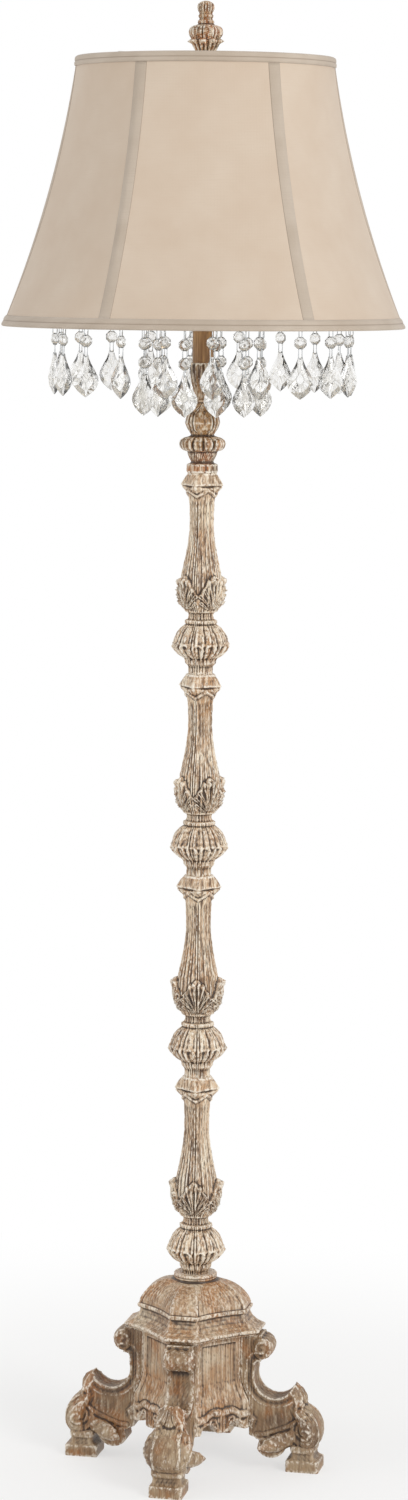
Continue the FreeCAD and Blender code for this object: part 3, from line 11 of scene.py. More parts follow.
import bpy
import numpy as np
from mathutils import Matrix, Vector


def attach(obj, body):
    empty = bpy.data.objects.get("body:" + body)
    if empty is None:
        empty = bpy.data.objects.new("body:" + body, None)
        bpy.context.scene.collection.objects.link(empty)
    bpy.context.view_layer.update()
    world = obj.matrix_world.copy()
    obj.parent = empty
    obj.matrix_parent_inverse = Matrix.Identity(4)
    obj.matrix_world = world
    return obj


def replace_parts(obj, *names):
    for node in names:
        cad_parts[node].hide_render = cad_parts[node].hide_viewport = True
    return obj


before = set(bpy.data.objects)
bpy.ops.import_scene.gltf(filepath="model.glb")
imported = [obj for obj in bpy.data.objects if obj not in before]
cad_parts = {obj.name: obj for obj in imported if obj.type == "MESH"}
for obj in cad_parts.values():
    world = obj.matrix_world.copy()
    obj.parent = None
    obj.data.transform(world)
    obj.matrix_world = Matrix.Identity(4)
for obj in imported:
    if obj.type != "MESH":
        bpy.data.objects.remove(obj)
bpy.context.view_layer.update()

# %% [markdown]
# ## Units and angles
# The frame is in metres, but a lamp is easier to think about in millimetres, so every size below is in
# millimetres and is scaled once, when a mesh is made. A turn is an angle about the lamp's axis, in degrees,
# measured from the front leg (-Y) towards +X.

# %% Units
MM = 0.001
AROUND = 240    # grid columns round a turned piece


def ahead(turn):
    """Unit direction (x, y) of a turn in degrees."""
    angle = np.radians(turn)
    return np.sin(angle), -np.cos(angle)


def all_round(count, whole=360):
    """Evenly spaced angles all the way round: in degrees, or in radians if the whole is tau."""
    return np.linspace(0, whole, count, endpoint=False)


def around(turns, radius, height):
    """Points at these turns, distances from the axis and heights."""
    x, y = ahead(turns)
    return np.stack(np.broadcast_arrays(radius * x, radius * y, height), -1)


def spread(low, high, step):
    """Evenly spaced numbers from low to high, about a step apart, without the last one."""
    return np.linspace(low, high, max(1, round(abs(high - low) / step)), endpoint=False)


# %% [markdown]
# ## Meshes from grids
# Turned and carved pieces are grids of points wrapped round the axis. A grid is the right tool here because
# the carving is a height added to every point by a formula, the way a relief is cut into a blank. Each row
# of a grid is closed round the axis. The last row joins the first one through the bore, or both ends are
# capped, so that the skin is watertight.

# %% Grid helpers
def grid_faces(rows, columns, wrap_rows=False, wrap_columns=True):
    """Quads over a grid of points. Each row is closed on itself unless asked otherwise, and the last row is
    joined to the first one if asked."""
    row = np.arange(rows if wrap_rows else rows - 1)[:, None]
    column = np.arange(columns if wrap_columns else columns - 1)[None, :]
    below, above = row * columns, (row + 1) % rows * columns
    after = (column + 1) % columns
    return np.stack([below + column, below + after, above + after, above + column], -1).reshape(-1, 4)


def end_faces(rows, columns):
    """Faces that close a stack of rows at its two ends."""
    last = (rows - 1) * columns
    return [list(range(columns - 1, -1, -1)), list(range(last, last + columns))]


def make_mesh(name, points, faces):
    """Mesh from points in millimetres."""
    faces = faces.tolist() if isinstance(faces, np.ndarray) else faces
    mesh = bpy.data.meshes.new(name)
    mesh.from_pydata((np.asarray(points).reshape(-1, 3) * MM).tolist(), [], faces)
    mesh.update()
    return mesh


def turned_skin(name, rows, columns=AROUND, capped=False):
    """Closed skin from rows of (radius, height). A radius is one number, or one for every column. The last
    row meets the first one, or both ends are capped. Rows listed from the top down make it inside out."""
    points = [around(all_round(columns), radius, height) for radius, height in rows]
    faces = grid_faces(len(rows), columns, wrap_rows=not capped).tolist()
    return make_mesh(name, points, faces + (end_faces(len(rows), columns) if capped else []))


def make_piece(name, mesh, material, body, smooth=True):
    """Object for a finished mesh: shaded, given its material and set to ride on a body."""
    piece = bpy.data.objects.new(name, mesh)
    bpy.context.scene.collection.objects.link(piece)
    mesh.polygons.foreach_set("use_smooth", np.full(len(mesh.polygons), smooth))
    mesh.materials.clear()
    mesh.materials.append(material)
    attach(piece, body)
    return piece


# %% [markdown]
# ## Wear and painted shading
# On a washed finish the paint stays on the edges and the stain stays in the hollows. The same marks are
# also painted light: the cream on the edges is partly a painted highlight, and the dark in the hollows is
# partly painted shade. Both can be found from the shape alone: a mesh is smoothed in a copy, and how far
# each point stands above or below its smoothed place says whether it is an edge or a hollow. The number is
# kept on the mesh and read by the material.

# %% Mark edges and hollows
def points_and_normals(mesh):
    """Arrays (count, 3) of a mesh's points, in metres, and of their normals."""
    arrays = np.empty((2, len(mesh.vertices) * 3))
    mesh.vertices.foreach_get("co", arrays[0])
    mesh.vertices.foreach_get("normal", arrays[1])
    return arrays.reshape(2, -1, 3)


def keep(mesh, name, values, kind="FLOAT", domain="POINT"):
    """Keep values on a mesh, under a name by which materials read them."""
    key = "vector" if kind == "FLOAT_VECTOR" else "value"
    mesh.attributes.new(name, kind, domain).data.foreach_set(key, np.ravel(values).astype(np.float32))


def mark_edges_and_hollows(mesh, reach=14, depth=0.45):
    """Store on every point how proud (up to 1) or hollow (down to -1) it is: proud points get edge paint and
    a painted highlight, hollow ones stain and painted shade. More smoothing steps reach further over the
    mesh;
    depth is how many mm off the smoothed place counts as fully worn or hidden."""
    count = len(mesh.vertices)
    points, normals = points_and_normals(mesh)
    edges = np.empty(len(mesh.edges) * 2, int)
    mesh.edges.foreach_get("vertices", edges)
    ends = np.concatenate([edges[::2], edges[1::2]])
    others = np.concatenate([edges[1::2], edges[::2]])
    degree = np.maximum(np.bincount(ends, minlength=count), 1)
    smooth = points.copy()
    for _ in range(reach):
        for axis in range(3):
            pulled = np.bincount(ends, weights=smooth[others, axis], minlength=count) / degree
            smooth[:, axis] = (smooth[:, axis] + pulled) / 2
    proud = ((points - smooth) * normals).sum(axis=1) / (depth * MM)
    # this number drives edge paint with a painted highlight, and hollow stain with painted shade
    keep(mesh, "wear_and_shading", np.clip(proud, -1, 1))


# %% [markdown]
# ## Materials
# Colours are written as sRGB hex, as a colour picker shows them, and one function turns them to the linear
# values that the renderer works in. One more function adds a node, sets its values and joins its inputs, so
# a material reads as a short list of nodes. Pattern scales come from real sizes: a pattern with a pitch of
# p millimetres has a scale of 1000 / p, because object coordinates are in metres.

# %% Material helpers
def linear(code):
    """Linear RGBA of an sRGB hex colour."""
    parts = [int(code[i:i + 2], 16) / 255 for i in (1, 3, 5)]
    return (*[p / 12.92 if p <= 0.04045 else ((p + 0.055) / 1.055) ** 2.4 for p in parts], 1.0)


def add_node(owner, kind, links=None, out=None, stops=(), **settings):
    """Add a node to a material or world: settings by attribute, inputs by socket name or place, colour ramp
    stops. An input is a number, a hex colour or an output to join. Gives the output that is asked for, or the
    first one in use."""
    node = owner.node_tree.nodes.new(kind)
    for name, value in settings.items():
        setattr(node, name, value)
    for index, (position, code) in enumerate(stops):
        elements = node.color_ramp.elements
        element = elements[index] if index < len(elements) else elements.new(position)
        element.position, element.color = position, linear(code)
    for name, value in (links or {}).items():
        named = (s for s in node.inputs if s.name == name and not s.is_unavailable)
        socket = node.inputs[name] if isinstance(name, int) else next(named)
        if isinstance(value, bpy.types.NodeSocket):
            owner.node_tree.links.new(value, socket)
        else:
            socket.default_value = linear(value) if isinstance(value, str) else value
    return node.outputs[out] if out else next(s for s in node.outputs if not s.is_unavailable)


def new_material(name, **surface):
    """Material with a Principled shader. Values are numbers or hex colours on the shader's own sockets."""
    material = bpy.data.materials.new(name)
    material.use_nodes = True
    for socket, value in surface.items():
        value = linear(value) if isinstance(value, str) else value
        material.node_tree.nodes["Principled BSDF"].inputs[socket.replace("_", " ")].default_value = value
    return material


def wire_up(material, **sockets):
    """Join outputs to the shader's sockets."""
    shader = material.node_tree.nodes["Principled BSDF"]
    for name, output in sockets.items():
        material.node_tree.links.new(output, shader.inputs[name.replace("_", " ")])
    return material


def grain_of(material, across, along=None, detail=3.0, place=None):
    """Noise whose grains are this many millimetres across; along is their height, if they are drawn out."""
    along = across if along is None else along
    place = place or add_node(material, "ShaderNodeTexCoord", out="Object")
    drawn = add_node(material, "ShaderNodeMapping", {
        "Vector": place, "Scale": (1000 / across, 1000 / across, 1000 / along)})
    return add_node(material, "ShaderNodeTexNoise", {
        "Vector": drawn, "Scale": 1.0, "Detail": detail, "Roughness": 0.58})


def over(material, base, *layers):
    """Lay colours over a base. Each layer is a colour, the value that it follows, where on that value it
    starts and where it is full, and how much of it is laid there."""
    for colour, by, low, high, most in layers:
        share = add_node(material, "ShaderNodeMapRange", {
            "Value": by, "From Min": low, "From Max": high, "To Max": most})
        base = add_node(material, "ShaderNodeMix", {"Factor": share, "A": base, "B": colour},
                        data_type="RGBA")
    return base


# %% [markdown]
# ### Washed wood
# The stand is carved wood that was limewashed and rubbed back. The eye sees layers: a tan ground with
# warmer and greyer patches a few fingers wide, long streaks of grain up the height, dark stain caught in
# every hollow that is also painted shade, and chalky cream that is left, broken up, on the edges, which is
# also a painted highlight. A thin wax coat gives it a low sheen. The columns were rubbed back furthest, so
# their ground is palest. The cup and finial were stained darkest, and on the legs the grain runs every way,
# so their streaks are short.

# %% Washed wood
EDGE_PAINT_AND_HIGHLIGHT = "#F6EDDE"           # left on the edges, and a painted highlight there
HOLLOW_STAIN_AND_SHADE = "#35241A"    # caught in the hollows, and painted shade there


def washed_wood(name, ground, warm, cream, stain, contrast, streak, chalk_and_highlight):
    """Limewashed finish: ground is three colours from dark to light, contrast is the strength of the streaks,
    streak their length in millimetres and chalk how much cream paint is left on the edges, where it also
    stands as a painted highlight."""
    material = new_material(name, Roughness=0.5)
    wear_and_shading = add_node(material, "ShaderNodeAttribute", out="Fac", attribute_name="wear_and_shading")
    patch = grain_of(material, 38)
    glow = grain_of(material, 24, 34)
    broad = grain_of(material, 3.4, streak, 2.5)
    fine = grain_of(material, 1.5, streak * 0.45, 4.0)
    fleck = grain_of(material, 2.4, 4.4, 5.0)
    colour = add_node(material, "ShaderNodeValToRGB", {"Fac": patch},
                      stops=list(zip((0.36, 0.5, 0.64), ground)))
    held = add_node(material, "ShaderNodeMapRange", {
        "Value": fleck, "From Min": 0.4, "From Max": 0.6, "To Min": 0.0, "To Max": 1.2})
    rubbed_and_highlit = add_node(material, "ShaderNodeMath", {0: wear_and_shading, 1: held}, operation="MULTIPLY")
    colour = over(
        material, colour, (warm, glow, 0.5, 0.64, 0.8), (cream, broad, 0.52, 0.64, 0.85 * contrast),
        (stain, broad, 0.47, 0.36, 0.8 * contrast), (cream, fine, 0.55, 0.68, 0.7 * contrast),
        (stain, fine, 0.45, 0.33, 0.75 * contrast), (stain, fleck, 0.43, 0.31, 0.7 * contrast),
        # cream edge paint, partly a painted highlight
        (EDGE_PAINT_AND_HIGHLIGHT, rubbed_and_highlit, 0.26 - 0.16 * chalk_and_highlight, 1.1 - 0.35 * chalk_and_highlight, 0.65 + 0.3 * chalk_and_highlight),
        # dark hollow stain, partly painted shade
        (HOLLOW_STAIN_AND_SHADE, wear_and_shading, -0.12, -0.7, 0.92))
    sheen = add_node(material, "ShaderNodeMapRange", {
        "Value": fleck, "From Min": 0.35, "From Max": 0.65, "To Min": 0.34, "To Max": 0.6})
    worn = add_node(material, "ShaderNodeMix", {"Factor": 0.4, "A": fine, "B": fleck}, data_type="FLOAT")
    scratches = add_node(material, "ShaderNodeBump", {"Height": worn, "Distance": 0.6 * MM, "Strength": 0.6})
    return wire_up(material, Base_Color=colour, Normal=scratches, Roughness=sheen)


PALE_WOOD = washed_wood("limewashed_column_finish", ("#B39473", "#CDAD8C", "#E0C8A9"), "#BE8F60",
                        "#F4E7D0", "#5A402C", 1.0, 130, 1.0)
BASE_WOOD = washed_wood("rubbed_back_base_finish", ("#997B5C", "#B89572", "#CAB497"), "#B27D4A",
                        "#E8DBC6", "#543A29", 0.66, 90, 0.35)
LEG_WOOD = washed_wood("rubbed_back_leg_finish", ("#745A41", "#917353", "#AA9274"), "#A06834",
                       "#DBCAAF", "#4C3424", 0.34, 22, 0.55)
CROWN_WOOD = washed_wood("dark_stained_crown_finish", ("#70502F", "#9C7142", "#B88D5C"), "#B86F32",
                         "#F0E3CC", "#38251A", 0.9, 40, 0.9)
for finish in (PALE_WOOD, BASE_WOOD, LEG_WOOD, CROWN_WOOD):
    print("made", finish.name)

# %% [markdown]
# ## Carving on a turned blank
# A section of the column is one profile with five kinds of carving on it. Each is a height over the blank,
# written as a function of the turn and of the drop from the section's top. Small shaping functions keep the
# formulas readable: a soft step, a round bump, and the distance to a stroke, which is how leaf lobes are
# drawn.

# %% Shaping functions
def step(value, low, high):
    """0 below low, 1 above high and smooth between."""
    share = np.clip((value - low) / (high - low), 0, 1)
    return share * share * (3 - 2 * share)


def bump_at(value, centre, width):
    """Round bump, 1 at its centre and 0 a width away."""
    return np.clip(1 - ((value - centre) / width) ** 2, 0, 1) ** 1.5


def within(value, rise, risen, fall, fallen):
    """1 from risen to fall, 0 before rise and after fallen."""
    return step(value, rise, risen) * (1 - step(value, fall, fallen))


def bumps(value, *each):
    """Sum of round bumps, each given by its height, centre and width."""
    return sum(height * bump_at(value, centre, width) for height, centre, width in each)


def wrap(turn, period):
    """Turn brought into half a period each side of 0."""
    return (turn + period / 2) % period - period / 2


def off_middle(turn, period):
    """0 in the middle of every repeat of a pattern, 1 half way to the next one."""
    return np.abs(wrap(turn, period)) / (period / 2)


def along_path(across, up, path):
    """For every straight piece of a path: how far along it points are, from 0 to 1, and how far from it."""
    for (x0, y0), (x1, y1) in zip(path, path[1:]):
        dx, dy = x1 - x0, y1 - y0
        share = np.clip(((across - x0) * dx + (up - y0) * dy) / (dx * dx + dy * dy), 0, 1)
        yield share, np.hypot(across - x0 - share * dx, up - y0 - share * dy)


def distance_to(across, up, path):
    """Distance to a path."""
    return np.min([distance for _, distance in along_path(across, up, path)], axis=0)


def stroke(across, up, path, widths):
    """Reach inside a tapered stroke, in widths: 1 on its middle line, 0 at its edge, negative outside."""
    pieces = zip(along_path(across, up, path), widths, widths[1:])
    return np.max([1 - distance / (w0 + (w1 - w0) * share) for (share, distance), w0, w1 in pieces], axis=0)


def lobe(across, up, path, widths, rim=0.8, bowl=0.7):
    """Leaf lobe: a raised rim around a shallow bowl, in millimetres."""
    inside = stroke(across, up, path, widths)
    edge = step(inside, -0.12, 0.18)
    return edge * (rim - bowl * step(inside, 0.2, 0.75))


def profile(drops, radii):
    """Blank: the radius at any drop, straight between given pairs."""
    def radius(drop):
        return np.interp(drop, drops, radii)
    return radius


# %% [markdown]
# ### The column section
# From the top: a thin ring, a capital whose four corners run out to tips, a waisted shaft with uneven
# flutes and a double rib under each tip, a leaf cup with four curled acanthus leaves, a ring, a ball with
# scooped flutes above a row of U-shaped petals, and a plain neck. The blank is a list of drops and radii.
# The carving is added where it belongs and fades out by soft steps.

# %% Blank of a section
SECTION_HEIGHT = 216.9
COLUMN_BOTTOM = 197.5
BORE = 5.2
section_blank = profile(
    [0.0, 0.4, 3.6, 4.3, 5.0, 9.0, 13.0, 14.2, 20.0, 26.0, 34.0, 45.0, 60.0, 76.0, 90.0, 100.0, 108.0,
     109.0, 110.0, 117.0, 124.0, 131.0, 138.0, 143.0, 147.5, 149.6, 150.8, 154.0, 157.8, 159.0, 161.8,
     162.6, 163.4, 167.0, 172.0, 178.0, 184.0, 190.0, 195.0, 198.5, 199.5, 202.0, 205.0, 207.5, 209.0,
     216.9],
    [15.2, 15.8, 16.4, 16.7, 16.9, 17.3, 17.6, 15.8, 15.6, 14.2, 13.4, 12.9, 12.9, 14.8, 17.3, 19.4, 21.2,
     21.6, 24.6, 25.8, 26.2, 25.8, 24.0, 21.6, 18.6, 17.2, 13.6, 12.9, 14.2, 17.3, 17.3, 16.0, 16.8, 22.6,
     27.0, 29.8, 30.6, 28.8, 24.6, 19.6, 17.2, 16.9, 16.6, 14.2, 13.3, 13.2])

shaft_blank = profile([26.0, 34.0, 45.0, 60.0, 76.0, 90.0, 100.0, 108.0, 120.0, 134.0],
                      [14.2, 13.4, 12.9, 12.9, 14.8, 17.3, 19.4, 21.2, 22.4, 22.6])


# %% Carving of a section
def capital_carving(turn, drop):
    """Corner tips on top, and under them a carved bell with a pointed lower edge."""
    away = off_middle(turn, 90)
    tip = np.clip(1 - away / 0.62, 0, 1) ** 1.35
    band = np.clip((drop - 0.6) / 12.0, 0, 1) ** 0.9 * (1 - step(drop, 13.6, 23.0))
    height = 7.0 * tip * band
    sag = 2.0 * bump_at(away, 1.0, 0.7) * bump_at(drop, 8.0, 4.5)
    edge = 26.5 - 7.0 * away
    bell = within(drop, 14.0, 15.5, edge - 1.0, edge + 0.4)
    tongues = 0.16 * np.cos(np.radians(turn) * 24) * bell
    lip = 1.0 * bump_at(drop, edge - 0.6, 2.2) - 0.5 * bump_at(drop, edge - 4.0, 1.5) * bell
    undercut = -2.0 * bump_at(drop, 14.8, 1.8) * step(away, 0.25, 0.6)
    return height - sag * 0.4 + bell * 1.2 + tongues + lip + undercut


def shaft_carving(turn, drop):
    """Uneven flutes that run up the shaft, and a double rib under each corner tip."""
    fade = step(drop, 27.0, 34.0)
    angle = np.radians(turn)
    wander = 0.5 * np.sin(angle * 3 + 0.7) + 0.25 * np.sin(angle * 2 + drop * 0.035)
    flutes = 0.42 * np.cos(angle * 27 + 2.2 * wander) + 0.26 * np.cos(angle * 44 - 3.0 * wander + 0.4)
    swell = 0.8 + 0.5 * step(drop, 70.0, 108.0)
    side = np.abs(wrap(turn, 90)) * np.pi / 180 * shaft_blank(drop)
    rib = 1.0 * bump_at(side, 1.35, 0.95) - 0.8 * bump_at(side, 0.0, 0.8)
    quiet = 1 - bump_at(side, 0.0, 3.2)
    return fade * (flutes * swell * quiet + rib - 0.55)


LEAF_TIP_REACH = 3.2
leaf_edge = profile([0, 5, 9, 12, 17, 20, 25, 32, 38, 45],
                    [109.6, 110.0, 112.0, 115.5, 113.6, 115.0, 121.0, 123.5, 129.0, 131.0])
leaf_lobes = [  # half a leaf's lobes: path in mm across and up from the cup's foot, and widths
    ([(1.2, 3.0), (2.2, 14.0), (4.4, 26.0), (4.3, 31.5)], [0.7, 1.1, 2.7, 3.9]),
    ([(2.6, 3.0), (6.0, 12.0), (11.2, 21.0), (13.4, 24.0)], [0.6, 0.9, 1.7, 2.5]),
    ([(4.0, 2.5), (9.0, 8.5), (14.0, 14.0), (16.4, 16.2)], [0.6, 0.9, 1.5, 2.2]),
    ([(6.0, 2.0), (11.0, 5.0), (15.5, 8.6)], [0.6, 1.1, 1.8]),
]


def leaf_carving(turn, drop):
    """Four acanthus leaves round the cup, each with a split middle, curled tip and pairs of lobes. Above the
    leaves' edge the shaft goes on down behind them."""
    up = 148.0 - drop
    away = np.abs(wrap(turn, 90))
    across = away * np.pi / 180 * 24.0
    fade = within(drop, 109.6, 112.0, 147.0, 150.5)
    height = np.zeros(np.broadcast(turn, drop).shape)
    for path, widths in leaf_lobes:
        height = np.maximum(height, 2.1 * lobe(across, up, path, widths, 1.3, 0.95))
    height -= 1.2 * bump_at(across, 0.0, 0.9) * (1 - step(up, 33.0, 36.0))
    boss = 1.6 * bump_at(np.hypot((away - 45) * 0.42, (up - 6.5) * 0.8), 0.0, 7.0)
    tip = np.clip(1 - away / 20.0, 0, 1) ** 0.6
    curl = LEAF_TIP_REACH * tip * bump_at(drop, 114.6, 6.4) * step(drop, 109.6, 112.0)
    side_tip = (1.2 * bump_at(away, 17.0, 6.0) * bump_at(drop, 117.0, 5.0)
                + 0.8 * bump_at(away, 31.0, 6.0) * bump_at(drop, 126.5, 5.0))
    leaf = fade * (height + boss + side_tip - 0.9) + curl
    behind = (1 - step(drop - leaf_edge(away), -0.3, 0.9)) * (drop > 108.0) * (drop < 134.0)
    gap = shaft_blank(drop) - section_blank(drop)
    return leaf * (1 - behind) + gap * behind


def ball_carving(turn, drop, count=12):
    """Scooped flutes on the upper half of the ball, and U-rimmed petals with raised tips below."""
    period = 360.0 / count
    away, shifted = off_middle(turn, period), off_middle(turn + period / 2, period)
    upper = within(drop, 163.5, 168.0, 180.5, 184.0)
    scoop = -2.3 * upper * (1 - away ** 2.2) * bump_at(drop, 173.0, 12.5) ** 0.4
    dart = -1.4 * bump_at(away, 0.0, 0.36) * bump_at(drop, 168.5, 5.0)
    lower = within(drop, 184.0, 186.5, 199.0, 203.0)
    arc = 183.6 + 6.5 * shifted ** 2
    rim = 1.0 * bump_at(drop, arc + 0.6, 1.9) + 1.1 * lower * bump_at(shifted, 0.64, 0.24)
    hollow = -1.7 * lower * bump_at(shifted, 0.0, 0.5)
    gap = -1.2 * lower * bump_at(shifted, 1.0, 0.24)
    return scoop + dart + rim + hollow + gap


def small_carving(turn, drop):
    """Chip marks on the necks, and flutes round the ball's foot."""
    angle = np.radians(turn)
    foot = 0.45 * np.cos(angle * 16) * bump_at(drop, 203.5, 4.5)
    neck = 0.3 * np.cos(angle * 20) * bump_at(drop, 154.5, 4.0)
    return foot + neck


def hand_cut(turn, height):
    """Small unevenness of hand work, the same at every run."""
    angle = np.radians(turn)
    return (0.16 * np.sin(angle * 7 + height * 0.31) * np.sin(height * 0.23 + angle * 2)
            + 0.1 * np.sin(angle * 17 - height * 0.47) + 0.08 * np.cos(angle * 31 + height * 0.9))


# %% Build the sections
SECTIONS = {1: (50.0, -8.0), 2: (41.5, -8.0), 3: (9.0, 11.0), 4: (6.0, 8.0)}  # turns of leaves and tips
# rows from the top down, closer where the carving is fine
drops = np.concatenate([
    spread(0, 5, 0.5), spread(5, 30, 0.7), spread(30, 106, 1.3), spread(106, 150, 0.65),
    spread(150, 162, 0.6), spread(162, 206, 0.7), np.linspace(206, SECTION_HEIGHT, 12)])[:, None]
turns = all_round(AROUND)[None, :]
for number, (leaf_turn, tip_turn) in SECTIONS.items():
    tips, leaves = turns - tip_turn, turns - leaf_turn
    radii = (section_blank(drops) + capital_carving(tips, drops) + shaft_carving(tips, drops)
             + leaf_carving(leaves, drops) + ball_carving(leaves, drops)
             + small_carving(turns, drops) + hand_cut(turns + 40 * number, drops))
    top = COLUMN_BOTTOM + SECTION_HEIGHT * (len(SECTIONS) + 1 - number)
    rows = [(BORE, top), *zip(radii, top - drops[:, 0]), (BORE, top - SECTION_HEIGHT)]
    mesh = turned_skin(f"column_section_{number}_skin", rows)
    mesh.flip_normals()    # the rows run from the top down
    mark_edges_and_hollows(mesh)
    piece = make_piece(f"carved_column_{number}", mesh, PALE_WOOD, "stand")
    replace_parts(piece, f"column_section_{number}")
    print(piece.name, "reach", round(float(radii.max()), 1), "mm, points", len(mesh.vertices))

# %% [markdown]
# ### The candle cup
# One turned piece stands on the column: a ring, a speckled neck, a crown of hanging petals, an onion knob
# with four broad smooth panels between pairs of ribs, and a small tulip that holds the candle sleeve.

# %% Candle cup
CUP_BOTTOM = COLUMN_BOTTOM + 4 * SECTION_HEIGHT
CUP_RIM = 118.7
CUP_FLOOR = 101.0
SLEEVE_SEAT = 11.7
THIN_WALL = 0.9    # least wood around the sleeve
cup_blank = profile(
    [0.0, 0.5, 1.6, 8.8, 9.8, 10.6, 12.5, 16.0, 20.0, 23.0, 24.5, 27.0, 32.0, 35.5, 38.0, 39.5, 41.0,
     44.0, 48.0, 54.0, 60.0, 65.0, 70.0, 73.5, 76.0, 76.6, 78.0, 78.8, 80.0, 84.0, 90.0, 98.0, 106.0,
     114.0, 118.0, 118.7],
    [15.2, 16.4, 16.9, 16.7, 15.6, 13.0, 11.9, 13.6, 15.4, 15.8, 20.6, 23.6, 25.0, 23.4, 19.6, 13.8, 12.4,
     13.9, 16.7, 18.9, 17.7, 15.0, 11.5, 8.3, 6.2, 7.1, 7.0, 6.2, 6.1, 7.6, 9.9, 11.9, 13.0, 13.4, 13.6,
     13.2])


def cup_carving(turn, height):
    """Speckles on the neck, twelve hanging petals, knob panels with paired ribs, and tulip leaves."""
    angle = np.radians(turn)
    neck = within(height, 11.5, 14.0, 23.0, 24.5)
    speckle = 0.7 * neck * np.sin(angle * 24 + height * 1.9) * np.sin(height * 2.6 - angle * 16)
    beside = off_middle(turn, 30)
    crown = within(height, 23.2, 25.0, 38.0, 40.5)
    petals = crown * bumps(beside, (-3.4, 1.0, 0.42), (0.5, 0.62, 0.2), (-0.9, 0.0, 0.45))
    away = np.abs(wrap(turn - 14, 90))
    knob = within(height, 41.5, 46.0, 72.0, 76.0)
    edge = 31 * np.clip(bump_at(height, 56.0, 21.0) * 1.35, 0, 1)
    ribs = knob * bumps(away, (1.4, edge, 3.8), (-1.3, edge + 7.0, 4.4), (1.0, 45.0, 5.0))
    leaf = off_middle(turn + 9, 45)
    tulip = within(height, 79.5, 83.0, 116.0, 118.0)
    leaves = tulip * bumps(leaf, (0.8, 0.62, 0.3), (-0.9, 1.0, 0.3), (-0.5, 0.0, 0.2))
    return speckle + petals + ribs + leaves


heights = np.concatenate([spread(0, 10, 0.6), spread(10, 46, 0.55), spread(46, 76, 0.8),
                          spread(76, 84, 0.5), np.linspace(84, CUP_RIM, 40)])
turns = all_round(AROUND)
rows = []
for height in heights:
    radius = cup_blank(height) + cup_carving(turns, height) + 0.6 * hand_cut(turns, height)
    if height > CUP_FLOOR:
        radius = np.maximum(radius, SLEEVE_SEAT + THIN_WALL)
    rows.append((radius, CUP_BOTTOM + height))
rows += [(radius, CUP_BOTTOM + height) for radius, height in (
    (SLEEVE_SEAT, CUP_RIM), (SLEEVE_SEAT, CUP_FLOOR), (BORE, CUP_FLOOR), (BORE, 0.0))]
mesh = turned_skin("candle_cup_skin", rows)
mark_edges_and_hollows(mesh)
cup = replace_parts(make_piece("carved_candle_cup", mesh, CROWN_WOOD, "stand"), "candle_cup")
print(cup.name, "top", round(CUP_BOTTOM + CUP_RIM, 1), "mm")

# %% [markdown]
# ### The finial
# The finial screws down on the shade: a cup of leaves with curled tips, a leafy bulb, two rings and a
# petalled knob. It is a solid of the same kind, closed at the top and drilled for the stud from below.

# %% Finial
FINIAL_BOTTOM = 1514.8
FINIAL_HEIGHT = 60.5
STUD_HOLE = 3.08
STUD_DEPTH = 21.0
HOLE_TIP = 0.02       # radius at which the drilled hole ends
FINIAL_AROUND = 144   # grid columns
finial_blank = profile(
    [0.0, 1.0, 5.0, 7.7, 11.0, 14.0, 16.0, 17.6, 19.6, 23.0, 26.0, 29.0, 31.2, 32.8, 33.6, 34.6, 36.0,
     38.0, 39.0, 40.0, 41.2, 42.4, 43.9, 45.0, 46.0, 47.6, 50.0, 53.0, 56.0, 58.0, 59.3, 59.8],
    [8.6, 9.0, 10.0, 11.4, 13.2, 14.8, 15.6, 14.6, 15.4, 17.4, 18.0, 17.3, 15.6, 13.0, 9.6, 8.3, 8.8, 8.5,
     7.2, 6.7, 7.0, 8.0, 7.9, 6.9, 6.9, 7.6, 8.5, 8.8, 8.0, 6.2, 3.6, 1.2])


def finial_carving(turn, height):
    """Eight curled leaf tips, hollow petals round the bulb and on the knob."""
    beside, shifted = off_middle(turn, 45), off_middle(turn + 22.5, 45)
    cup = 1 - step(height, 16.5, 18.0)
    tips = 5.2 * np.clip(1 - beside / 0.62, 0, 1) ** 0.7 * bump_at(height, 15.8, 3.4)
    cup_ribs = cup * bumps(beside, (0.9, 0.5, 0.22), (-1.5, 1.0, 0.3), (-0.7, 0.0, 0.2))
    bulb = within(height, 17.5, 20.5, 31.0, 33.0)
    bulb_ribs = bulb * bumps(shifted, (1.0, 0.78, 0.18), (-1.5, 1.0, 0.14), (-1.1, 0.0, 0.6),
                             (0.9, 0.0, 0.16))
    knob = within(height, 46.5, 48.5, 57.0, 59.0)
    petals = knob * bumps(shifted, (-1.2, 1.0, 0.34), (0.5, 0.5, 0.2), (-0.6, 0.0, 0.3))
    nicks = 0.35 * np.sin(np.radians(turn) * 16 + height * 1.3) * np.sin(height * 1.7)
    return tips + cup_ribs + bulb_ribs + petals + nicks * (1 - step(height, 56.0, 58.5))


hole = [(HOLE_TIP, STUD_DEPTH), (STUD_HOLE, STUD_DEPTH), (STUD_HOLE, 0.0)]
rows = [(radius, FINIAL_BOTTOM + height) for radius, height in hole]
turns = all_round(FINIAL_AROUND)
for height in np.concatenate([spread(0, 34, 0.5), spread(34, 47, 0.4), np.linspace(47, 59.8, 26)]):
    radius = finial_blank(height) + finial_carving(turns, height)
    radius += 0.4 * hand_cut(turns, height * 1.6) * (1 - step(height, 58.0, 60.0))
    rows.append((radius, FINIAL_BOTTOM + height))
mesh = turned_skin("finial_skin", rows, FINIAL_AROUND, capped=True)
mark_edges_and_hollows(mesh)
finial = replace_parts(make_piece("carved_finial", mesh, CROWN_WOOD, "finial"), "finial")
print(finial.name, "top", FINIAL_BOTTOM + FINIAL_HEIGHT, "mm")

# %% [markdown]
# ### The base
# The base is not round: narrow faces look along the four legs and wide hollowed faces lie between them.
# Each row of its grid is that outline at one height, so the skin is still one closed grid. It runs from the
# wavy lower edge of the apron over the panelled body, the cornice, the cove and the dome to the collar,
# down the bore and back round the hollow inside. Frames, scrolls and shells are cut in as a height over
# each wide face.

